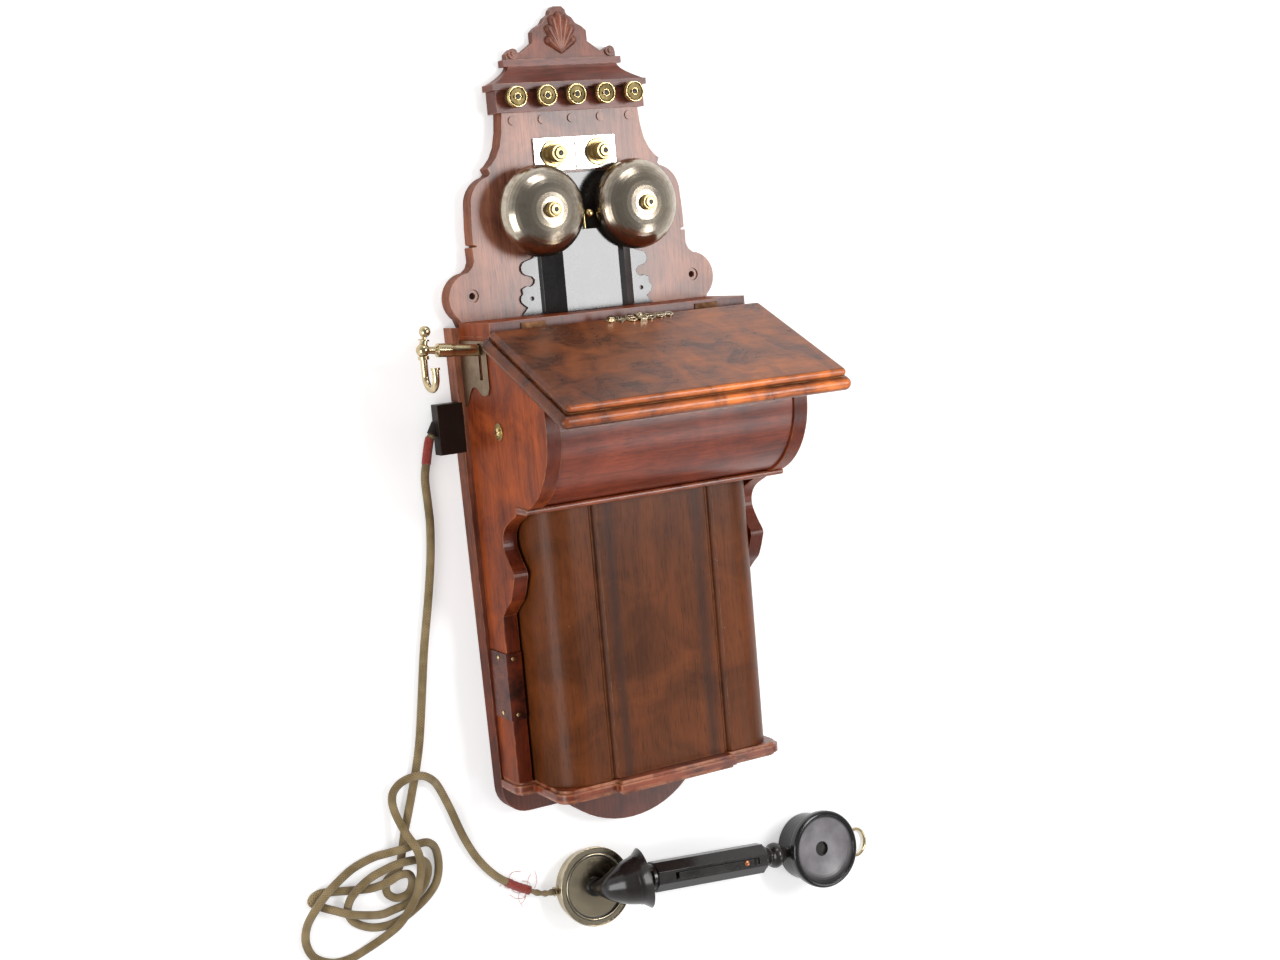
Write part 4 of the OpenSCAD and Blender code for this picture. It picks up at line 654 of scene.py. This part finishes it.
# %% Start a node group
def new_group(name, ins, outs):
    """A node group with named sockets. ins gives (name, kind, default), outs gives (name, kind)."""
    group = bpy.data.node_groups.new(name, "ShaderNodeTree")
    for label, kind, default in ins:
        socket = group.interface.new_socket(label, in_out="INPUT", socket_type="NodeSocket" + kind)
        if default is not None:
            socket.default_value = default
    for label, kind in outs:
        group.interface.new_socket(label, in_out="OUTPUT", socket_type="NodeSocket" + kind)
    source = group.nodes.new("NodeGroupInput")
    result = group.nodes.new("NodeGroupOutput")
    return group, source.outputs, result.inputs


def mix_colour(tree, factor, a, b, blend="MIX"):
    """Colour a where the factor is 0, and a mixed with b where it is 1."""
    node = add(tree, "Mix", {0: factor, 6: a, 7: b}, data_type="RGBA", blend_type=blend)
    return node.outputs[2]


def math_node(tree, operation, a, b=0.0):
    """One calculation on two values."""
    return add(tree, "Math", {0: a, 1: b}, operation=operation).outputs[0]


def remap(tree, value, low, high, new_low=0.0, new_high=1.0):
    """Stretches the range from low to high over the new one, and clamps what lies outside."""
    return add(tree, "MapRange", {0: value, 1: low, 2: high, 3: new_low, 4: new_high}).outputs[0]


def weighted(tree, a, share_a, b, share_b):
    """The sum of two values, each times its share."""
    return math_node(
        tree, "ADD", math_node(tree, "MULTIPLY", a, share_a), math_node(tree, "MULTIPLY", b, share_b)
    )


def here(tree, what="Object"):
    """The object's own coordinates, or its normals."""
    return add(tree, "TexCoord").outputs[what]


def part_of(tree, vector, axis):
    """One number of a vector."""
    return add(tree, "SeparateXYZ", {0: vector}).outputs[axis]


def noise(tree, vector, scale, detail, **more):
    """A soft random pattern from 0 to 1."""
    return add(tree, "TexNoise", {"Vector": vector, "Scale": scale, "Detail": detail, **more}).outputs[0]


# %% Build the wood group
wood_group, ins, outs = new_group(
    "Wood grain",
    [
        ("Vector", "Vector", None),
        ("Light", "Color", (0.3, 0.1, 0.05, 1)),
        ("Dark", "Color", (0.1, 0.03, 0.02, 1)),
        ("Streaks", "Float", 0.5),
        ("Blotches", "Float", 0.3),
        ("Size", "Float", 1.0),
    ],
    [("Color", "Color"), ("Height", "Float"), ("Gloss", "Float")],
)
g = wood_group
sized = add(g, "VectorMath", {0: ins["Vector"], "Scale": ins["Size"]}, operation="SCALE").outputs[0]
bent = add(g, "TexNoise", {"Vector": sized, "Scale": 6.0, "Detail": 1.0}).outputs["Color"]
bend = add(g, "VectorMath", {0: bent, "Scale": 0.012}, operation="SCALE").outputs[0]
wavy = add(g, "VectorMath", {0: sized, 1: bend}, operation="ADD").outputs[0]
long_way = add(g, "Mapping", {"Vector": wavy, "Scale": (1.0, 0.05, 1.0)}).outputs[0]
broad_way = add(g, "Mapping", {"Vector": wavy, "Scale": (1.0, 0.12, 1.0)}).outputs[0]
fine = noise(g, long_way, 420.0, 3.0, Roughness=0.6)
broad = noise(g, broad_way, 55.0, 3.0, Roughness=0.55)
pores = noise(g, long_way, 1500.0, 1.0)
blotch = noise(g, wavy, 22.0, 4.0, Roughness=0.6, Distortion=0.8)
streak = remap(g, weighted(g, fine, 0.5, broad, 0.5), 0.36, 0.64)
streak = add(g, "Mix", {0: ins["Streaks"], 2: 0.5, 3: streak}, data_type="FLOAT").outputs[0]
cloud = add(
    g, "Mix", {0: ins["Blotches"], 2: 0.5, 3: remap(g, blotch, 0.35, 0.66)}, data_type="FLOAT"
).outputs[0]
tone = remap(g, math_node(g, "ADD", streak, cloud), 0.25, 1.75)
base = mix_colour(g, tone, ins["Dark"], ins["Light"])
pore_mask = remap(g, pores, 0.30, 0.42, 1.0, 0.0)
pore_colour = mix_colour(g, 0.7, ins["Dark"], (0.01, 0.005, 0.004, 1))
g.links.new(mix_colour(g, math_node(g, "MULTIPLY", pore_mask, 0.45), base, pore_colour), outs["Color"])
g.links.new(weighted(g, fine, 0.4, pore_mask, -0.6), outs["Height"])
g.links.new(remap(g, blotch, 0.3, 0.7, -0.06, 0.08), outs["Gloss"])
print("wood group:", len(g.nodes), "nodes")

# %% Build the soft edge group
edge_group, ins, outs = new_group(
    "Soft edge",
    [("Radius", "Float", 0.001), ("Height", "Float", 0.0), ("Depth", "Float", 0.0001)],
    [("Normal", "Vector"), ("Edge", "Float")],
)
g = edge_group
rounded = add(g, "Bevel", {"Radius": ins["Radius"]}, samples=6).outputs[0]
bumped = add(
    g, "Bump", {"Strength": 1.0, "Distance": ins["Depth"], "Height": ins["Height"], "Normal": rounded}
).outputs[0]
flat = add(g, "NewGeometry").outputs["True Normal"]
along = add(g, "VectorMath", {0: flat, 1: rounded}, operation="DOT_PRODUCT").outputs["Value"]
spots = noise(g, here(g), 90.0, 3.0)
edge = remap(g, along, 0.998, 0.93)
g.links.new(bumped, outs["Normal"])
g.links.new(math_node(g, "MULTIPLY", edge, remap(g, spots, 0.35, 0.6)), outs["Edge"])
print("edge group:", len(g.nodes), "nodes")

# %% Build the tarnish group
tarnish_group, ins, outs = new_group(
    "Tarnish",
    [
        ("Clean", "Color", (0.8, 0.7, 0.5, 1)),
        ("Aged", "Color", (0.3, 0.25, 0.15, 1)),
        ("Amount", "Float", 0.5),
        ("Smooth", "Float", 0.2),
        ("Rough", "Float", 0.45),
        ("Size", "Float", 1.0),
    ],
    [("Color", "Color"), ("Roughness", "Float"), ("Height", "Float")],
)
g = tarnish_group
place = add(g, "VectorMath", {0: here(g), "Scale": ins["Size"]}, operation="SCALE").outputs[0]
large = noise(g, place, 40.0, 5.0, Roughness=0.65)
small = noise(g, place, 260.0, 3.0)
scratch_way = add(
    g, "Mapping", {"Vector": place, "Rotation": (0.3, 0.2, 0.7), "Scale": (1.0, 0.06, 1.0)}
).outputs[0]
scratch = noise(g, scratch_way, 900.0, 2.0)
stain = remap(g, weighted(g, large, 0.7, small, 0.3), 0.38, 0.62)
stain = math_node(g, "MULTIPLY", stain, ins["Amount"])
g.links.new(mix_colour(g, stain, ins["Clean"], ins["Aged"]), outs["Color"])
matt = add(g, "Mix", {0: stain, 2: ins["Smooth"], 3: ins["Rough"]}, data_type="FLOAT").outputs[0]
g.links.new(matt, outs["Roughness"])
g.links.new(weighted(g, scratch, 0.6, small, 0.4), outs["Height"])
print("tarnish group:", len(g.nodes), "nodes")

# %% [markdown]
# ## Finishes
#
# Old varnished mahogany is a coloured wood under a clear coat: the colour comes from the grain, the shine
# from the coat. Worn edges show lighter wood. Each board gets its own light and dark tone, and its grain
# runs the way the joiner laid it: along the set on the boards, across it on the curved front and the lid.

# %% Helpers for finishes
finishes = {}


def new_material(name):
    """A material with a Principled shader alone, listed by its name."""
    material = bpy.data.materials.new(name)
    material.use_nodes = True
    tree = material.node_tree
    tree.nodes.clear()
    shader = add(tree, "BsdfPrincipled")
    add(tree, "OutputMaterial", {"Surface": shader.outputs[0]})
    finishes[name] = material
    return tree, shader


def use_group(tree, group, inputs=()):
    """Adds a node group and gives its outputs."""
    node = tree.nodes.new("ShaderNodeGroup")
    node.node_tree = group
    return fill(tree, node, inputs).outputs


def wood(
    name, light, dark, grain=(0, 0, 0), streaks=0.6, blotches=0.5, size=1.0, roughness=0.42, coat=0.4,
    edge=0.0012, worn=(0.42, 0.20, 0.10), front=None, front_way=("Y", -0.55, -0.8), up=None, foot=None,
    nicks=0.0, shine=0.14, coat_all=0.0, groove_shade_lines=(), left_tint=None
):
    """Varnished wood. grain turns the coordinates so that Y lies along the board. front, up, foot and the left
    factor are colour factors for what faces along front_way, for what faces up, for the set's lower half and
    for its left side. front paints a highlight over the wood's own lighter edge, up and foot paint shade, and
    the left factor only makes the left side darker or lighter. Painted shade darkens a band either side of
    each groove line, and nicks is the strength of pale chips."""
    tree, shader = new_material(name)
    where = here(tree)
    turned = add(tree, "Mapping", {"Vector": where, "Rotation": grain}).outputs[0]
    grained = use_group(
        tree, wood_group,
        {
            "Vector": turned, "Light": (*light, 1), "Dark": (*dark, 1), "Streaks": streaks,
            "Blotches": blotches, "Size": size
        },
    )
    softened = use_group(tree, edge_group, {"Radius": edge, "Height": grained["Height"], "Depth": 0.00012})
    faces = add(tree, "SeparateXYZ", {0: here(tree, "Normal")}).outputs
    at = add(tree, "SeparateXYZ", {0: where}).outputs
    # Painted light: front paints a highlight on faces turned along front_way, up paints shade on faces turned
    # up and foot paints shade that deepens towards the lower half; the last factor only tints the left side.
    masks = (
        (front, faces[front_way[0]], front_way[1], front_way[2]),
        (up, faces["Z"], 0.5, 0.8),
        (foot, at["Y"], -0.05, -0.40),
        (left_tint, at["X"], 0.02, -0.15),
    )
    colour = grained["Color"]
    for factor, value, begin, end in masks:
        if factor:
            tinted = mix_colour(tree, 1.0, colour, (*factor, 1), "MULTIPLY")
            colour = mix_colour(tree, remap(tree, value, begin, end), colour, tinted)
    # Painted shade: each groove line gets a dark band either side of it.
    for groove_line in groove_shade_lines:
        off = math_node(tree, "ABSOLUTE", math_node(tree, "SUBTRACT", at["X"], groove_line))
        groove_shade = remap(tree, off, 0.0015, 0.0085, 0.62, 0.0)
        colour = mix_colour(tree, groove_shade, colour, (0.040, 0.018, 0.013, 1))
    colour = mix_colour(tree, math_node(tree, "MULTIPLY", softened["Edge"], 0.75), colour, (*worn, 1))
    if nicks:
        specks = noise(tree, where, 95.0, 6.0, Roughness=0.7)
        chip = math_node(tree, "MULTIPLY", remap(tree, specks, 0.695, 0.72), nicks)
        colour = mix_colour(tree, chip, colour, (0.48, 0.36, 0.25, 1))
    fill(
        tree, shader,
        {"Base Color": colour, "Roughness": math_node(tree, "ADD", grained["Gloss"], roughness),
         "Normal": softened["Normal"], "Coat Weight": remap(tree, faces["Z"], 0.3, 0.9, coat_all, coat),
         "Coat Roughness": 0.30, "Specular IOR Level": shine},
    )


def metal(
    name, clean, aged, amount=0.5, smooth=0.18, rough=0.42, size=1.0, edge=0.0005, depth=0.00003
):
    """Bare or plated metal with tarnish and fine scratches."""
    tree, shader = new_material(name)
    aged_look = use_group(
        tree, tarnish_group,
        {
            "Clean": (*clean, 1), "Aged": (*aged, 1), "Amount": amount, "Smooth": smooth, "Rough": rough,
            "Size": size
        },
    )
    softened = use_group(tree, edge_group, {"Radius": edge, "Height": aged_look["Height"], "Depth": depth})
    bright = tuple(min(1.0, 1.25 * c) for c in clean)
    colour = mix_colour(
        tree, math_node(tree, "MULTIPLY", softened["Edge"], 0.6), aged_look["Color"], (*bright, 1)
    )
    fill(
        tree, shader,
        {
            "Base Color": colour, "Roughness": aged_look["Roughness"], "Normal": softened["Normal"],
            "Metallic": 1.0
        },
    )


def black_gloss(
    name, colour=(0.012, 0.011, 0.011), dusty=(0.05, 0.045, 0.042), amount=0.4, smooth=0.12, rough=0.35,
    shine=0.5
):
    """Black ebonite or black lacquer, with a little dust and handling marks."""
    tree, shader = new_material(name)
    marks = use_group(
        tree, tarnish_group,
        {
            "Clean": (*colour, 1), "Aged": (*dusty, 1), "Amount": amount, "Smooth": smooth, "Rough": rough,
            "Size": 0.7
        },
    )
    softened = use_group(tree, edge_group, {"Radius": 0.0006, "Height": marks["Height"], "Depth": 0.00002})
    fill(
        tree, shader,
        {"Base Color": marks["Color"], "Roughness": marks["Roughness"], "Normal": softened["Normal"],
         "Specular IOR Level": shine},
    )


ACROSS = (0, 0, math.pi / 2)
print("finish helpers ready")

# %% Make the woods
# The backboard is painted darker towards its lower half as shade, and its faces turned to the foot end are
# painted lighter, partly a highlight and partly the wood's lighter edge.
wood(
    "faded mahogany", (0.39, 0.145, 0.080), (0.080, 0.023, 0.014), streaks=0.9, blotches=1.0, size=0.8,
    roughness=0.50, coat=1.0, worn=(0.50, 0.20, 0.10), front=(1.3, 1.1, 1.0), foot=(0.50, 0.30, 0.25)
)
wood(
    "red moulding", (0.26, 0.066, 0.038), (0.060, 0.014, 0.009), ACROSS, streaks=0.8, blotches=0.5,
    roughness=0.40, coat=0.6, worn=(0.52, 0.22, 0.13), coat_all=0.3
)
wood(
    "carved mahogany", (0.34, 0.100, 0.055), (0.055, 0.014, 0.009), streaks=0.4, blotches=0.9, size=1.5,
    roughness=0.42, coat=0.5, worn=(0.58, 0.28, 0.17), coat_all=0.3
)
# The cheek's faces turned up, on the rails and the scroll, are painted darker: painted shade.
wood(
    "orange cheek", (0.39, 0.080, 0.018), (0.11, 0.018, 0.006), streaks=0.8, blotches=1.0, roughness=0.42,
    coat=0.5, worn=(0.60, 0.22, 0.09), up=(0.50, 0.36, 0.32)
)
# The lid's faces turned up are painted much lighter: a painted highlight over its own orange edge. Its left
# side is made darker.
wood(
    "burled lid", (0.43, 0.122, 0.030), (0.055, 0.012, 0.006), ACROSS, streaks=0.6, blotches=1.0, size=1.3,
    left_tint=(0.50, 0.42, 0.42), roughness=0.30, coat=0.60, edge=0.0018, worn=(0.66, 0.30, 0.12),
    front=(2.5, 2.2, 1.3), front_way=("Z", 0.70, 0.88), coat_all=0.22
)
wood(
    "curved front", (0.29, 0.054, 0.022), (0.070, 0.010, 0.006), ACROSS, streaks=1.0, blotches=0.7,
    roughness=0.32, coat=0.9, coat_all=0.3
)
# Painted shade darkens a band either side of the cover's two grooves.
wood(
    "brown cover", (0.175, 0.046, 0.011), (0.070, 0.019, 0.005), streaks=0.7, blotches=1.0, size=0.8,
    roughness=0.40, coat=0.22, worn=(0.30, 0.13, 0.05), nicks=0.9, shine=0.10, groove_shade_lines=(-0.0447, 0.0447)
)
wood(
    "red shelf", (0.30, 0.058, 0.015), (0.065, 0.011, 0.005), ACROSS, streaks=0.7, blotches=1.0, size=1.2,
    roughness=0.24, coat=0.9, edge=0.0035, worn=(0.60, 0.23, 0.11), coat_all=0.5
)
wood(
    "black wood", (0.022, 0.014, 0.011), (0.008, 0.005, 0.004), streaks=0.6, blotches=0.4, roughness=0.38,
    coat=0.3, worn=(0.12, 0.07, 0.05)
)
print("woods:", len(finishes))

# %% Make the metals and black finishes
metal("old brass", (0.60, 0.46, 0.20), (0.22, 0.15, 0.06), amount=0.7, smooth=0.20, rough=0.42)
metal("bright brass", (0.80, 0.62, 0.30), (0.42, 0.29, 0.11), amount=0.5, smooth=0.14, rough=0.32)
metal(
    "gong nickel", (0.50, 0.44, 0.36), (0.28, 0.23, 0.17), amount=0.9, smooth=0.17, rough=0.30, size=0.9,
    edge=0.0008, depth=0.000008
)
metal("white nickel", (0.88, 0.87, 0.84), (0.62, 0.58, 0.50), amount=0.35, smooth=0.16, rough=0.34)
metal("dull nickel", (0.27, 0.19, 0.12), (0.15, 0.10, 0.06), amount=0.8, smooth=0.32, rough=0.5)
metal(
    "golden nickel", (0.50, 0.43, 0.31), (0.26, 0.21, 0.13), amount=0.6, smooth=0.17, rough=0.33, size=2.2,
    depth=0.000004
)
metal("hook metal", (0.66, 0.55, 0.34), (0.30, 0.22, 0.11), amount=0.6, smooth=0.16, rough=0.36)
metal("post brass", (0.19, 0.145, 0.065), (0.08, 0.058, 0.026), amount=0.8, smooth=0.42, rough=0.6)
metal("nut brass", (0.56, 0.42, 0.20), (0.26, 0.18, 0.08), amount=0.6, smooth=0.30, rough=0.46)
metal("hinge brown", (0.20, 0.10, 0.05), (0.09, 0.045, 0.025), amount=0.9, smooth=0.45, rough=0.65)
metal("copper", (0.66, 0.24, 0.10), (0.30, 0.10, 0.05), amount=0.5, smooth=0.2, rough=0.4)
metal("steel", (0.55, 0.54, 0.52), (0.22, 0.20, 0.18), amount=0.5, smooth=0.25, rough=0.45)
metal("magnet steel", (0.16, 0.16, 0.17), (0.10, 0.07, 0.05), amount=0.6, smooth=0.4, rough=0.6)
black_gloss("black lacquer", amount=0.25, smooth=0.14, rough=0.26)
black_gloss(
    "black ebonite", colour=(0.014, 0.012, 0.011), dusty=(0.035, 0.028, 0.026), amount=0.5, smooth=0.16,
    rough=0.34
)
black_gloss(
    "red-brown plate", colour=(0.16, 0.028, 0.010), dusty=(0.012, 0.004, 0.003), amount=1.0, smooth=0.22,
    rough=0.4, shine=0.25
)
# A plain dark finish for painted shade in holes, grooves and slots.
black_gloss("pitch", amount=0.8, smooth=0.3, rough=0.6)
black_gloss(
    "waxed card", colour=(0.20, 0.22, 0.24), dusty=(0.10, 0.10, 0.11), amount=0.8, smooth=0.5, rough=0.7
)
black_gloss(
    "red silk", colour=(0.22, 0.03, 0.02), dusty=(0.12, 0.02, 0.015), amount=0.8, smooth=0.5, rough=0.7
)
black_gloss(
    "green silk", colour=(0.03, 0.10, 0.05), dusty=(0.02, 0.06, 0.03), amount=0.8, smooth=0.5, rough=0.7
)
print("finishes:", len(finishes))

# %% [markdown]
# The ear cap is polished on its rim and grey in the dish: partly rubbed by ears and hands, partly a painted
# sheen where the dish would reflect the light. One material does both: the distance from the cap's middle line
# gives a soft-edged mask between two looks.

# %% Make the worn ear cap and its painted sheen
cap_low, cap_high = (Vector(c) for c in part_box("ear_cap"))
cap_middle = (cap_low + cap_high) / 2
cap_reach = (cap_high.x - cap_low.x) / 2
tree, shader = new_material("worn ebonite with painted sheen")
flat_place = add(tree, "Mapping", {"Vector": here(tree), "Scale": (1, 1, 0)}).outputs[0]
middle_line = (cap_middle.x, cap_middle.y, 0)
away = add(tree, "VectorMath", {0: flat_place, 1: middle_line}, operation="DISTANCE").outputs["Value"]
facing_up = remap(tree, part_of(tree, here(tree, "Normal"), "Z"), 0.80, 0.90)
dish = math_node(tree, "MULTIPLY", remap(tree, away, cap_reach * 0.86, cap_reach * 0.80), facing_up)
rubbed = noise(tree, here(tree), 55.0, 4.0)
# The grey is partly rubbing and partly painted sheen; only faces turned up get it.
rubbed_grey_and_sheen = mix_colour(tree, remap(tree, rubbed, 0.3, 0.7), (0.15, 0.14, 0.148, 1), (0.26, 0.245, 0.26, 1))
softened = use_group(tree, edge_group, {"Radius": 0.0009, "Height": rubbed, "Depth": 0.00002})
fill(
    tree, shader,
    {"Base Color": mix_colour(tree, dish, (0.013, 0.012, 0.012, 1), rubbed_grey_and_sheen),
     "Roughness": remap(tree, dish, 0.0, 1.0, 0.14, 0.40), "Normal": softened["Normal"]},
)
print("dish radius", round(cap_reach * 0.83 / MM, 1), "mm")

# %% Dress the solid pieces
dressing = {
    "faded mahogany": ["backboard", "post_plugs"],
    "red moulding": ["cornice_block", "cornice_moulding"],
    "carved mahogany": ["crest_carving"],
    "orange cheek": ["left_cheek", "right_cheek", "top_board"],
    "burled lid": ["desk_lid"],
    "curved front": ["drum_front"],
    "brown cover": ["battery_cover"],
    "red shelf": ["bottom_shelf", "desk_ledge"],
    "black wood": ["cord_block", "crank_knob"],
    "post brass": ["line_terminals"],
    "hinge brown": ["lid_hinges", "lid_hinge_leaves"],
    "old brass": [
        "magneto_frame", "drive_gear", "crank_bush", "hook_bracket", "contact_springs", "side_boss",
        "battery_tops"
    ],
    "bright brass": ["clapper"],
    "nut brass": ["arrester_nuts", "gong_nuts"],
    "gong nickel": ["gong_left", "gong_right"],
    "white nickel": ["arrester_plate"],
    "dull nickel": ["hook_plate"],
    "golden nickel": ["transmitter_case", "transmitter_ring", "paper_clip"],
    "hook metal": ["hook_lever", "hook_rod", "hook_wire", "hanging_ring"],
    "steel": ["clapper_pin", "gong_posts", "armature", "crank"],
    "magnet steel": ["magneto_magnets", "pole_pieces"],
    "black lacquer": ["ringer_base", "ringer_cover"],
    "black ebonite": ["handset_handle", "handset_neck", "talk_lever", "receiver_case"],
    "worn ebonite with painted sheen": ["ear_cap"],
    "red-brown plate": ["wear_plate"],
    "waxed card": ["battery_cells"],
    "red silk": ["ringer_coils"],
    "green silk": ["induction_coil"],
}


def dress(piece, finish):
    """Gives a piece one finish in every slot."""
    if not piece.material_slots:
        piece.data.materials.append(finishes[finish])
    for slot in piece.material_slots:
        slot.material = finishes[finish]


for finish, names in dressing.items():
    for name in names:
        dress(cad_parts[name], finish)
print("dressed", sum(len(v) for v in dressing.values()), "pieces")

# %% Make the braid and dress the cord
tree, shader = new_material("olive braid")
wrap = add(tree, "UVMap", uv_map="wrap").outputs[0]
split = add(tree, "SeparateXYZ", {0: wrap}).outputs
STRANDS_ROUND, TURNS_PER_CENTIMETRE = 8.0, 4.0
round_way = math_node(tree, "MULTIPLY", split["X"], STRANDS_ROUND)
along_way = math_node(tree, "MULTIPLY", split["Y"], TURNS_PER_CENTIMETRE)
strands = []
for way in ("ADD", "SUBTRACT"):
    turns = math_node(tree, way, round_way, along_way)
    strands.append(math_node(tree, "SINE", math_node(tree, "MULTIPLY", turns, 2 * math.pi)))
weave = math_node(tree, "MAXIMUM", *strands)
spread = noise(tree, here(tree), 60.0, 4.0)
fuzz = noise(tree, here(tree), 1400.0, 2.0)
tone = mix_colour(tree, remap(tree, spread, 0.35, 0.65), (0.20, 0.135, 0.050, 1), (0.37, 0.265, 0.125, 1))
shade = mix_colour(tree, remap(tree, weave, 0.1, -0.6), tone, (0.075, 0.050, 0.020, 1))
raised = math_node(tree, "ADD", weave, math_node(tree, "MULTIPLY", fuzz, 0.6))
bump = add(tree, "Bump", {"Strength": 0.9, "Distance": 0.0004, "Height": raised}).outputs[0]
soft = {"Roughness": 0.85, "Sheen Weight": 0.35, "Sheen Roughness": 0.4}
fill(tree, shader, {"Base Color": shade, "Normal": bump, **soft})
for piece in [cord] + leads:
    dress(piece, "olive braid")
print("cord dressed")

# %% [markdown]
# ## Red thread
#
# The windings are turns of soft cotton, a millimetre apart. The UVs made with the tube count those turns, so
# a sine along them gives each turn its own round ridge; a small share of the same sine paints shade into the
# colour, so each turn is a little redder on top than in the groove.

# %% Make the red thread and dress the small pieces
thread_rows = (
    ("red thread", (0.46, 0.045, 0.020), (0.22, 0.020, 0.012)),
    ("frayed thread", (0.62, 0.16, 0.13), (0.42, 0.07, 0.05)),
)
for name, tint, faded in thread_rows:
    tree, shader = new_material(name)
    turns = part_of(tree, add(tree, "UVMap", uv_map="wrap").outputs[0], "Y")
    ridge = math_node(tree, "SINE", math_node(tree, "MULTIPLY", turns, 2 * math.pi))
    mottle = noise(tree, here(tree), 500.0, 3.0)
    # Painted shade: the sine's share darkens the groove between turns; the mottle is the thread's own fading.
    mask = remap(tree, math_node(tree, "ADD", mottle, math_node(tree, "MULTIPLY", ridge, 0.15)), 0.3, 0.75)
    colour = mix_colour(tree, mask, (*faded, 1), (*tint, 1))
    bump = add(tree, "Bump", {"Strength": 0.8, "Distance": 0.0003, "Height": ridge}).outputs[0]
    fill(tree, shader, {"Base Color": colour, "Normal": bump, "Roughness": 0.8, "Sheen Weight": 0.3})
small_dressing = {
    "red thread": [first_whip, second_whip],
    "frayed thread": threads,
    "bright brass": brass_pieces,
    "golden nickel": rims,
    "black ebonite": [horn, collar],
    "pitch": shade_pieces + grooves,
    "copper": copper_pieces,
}
for finish, pieces in small_dressing.items():
    for piece in pieces:
        dress(piece, finish)
print("small pieces dressed:", sum(len(v) for v in small_dressing.values()))
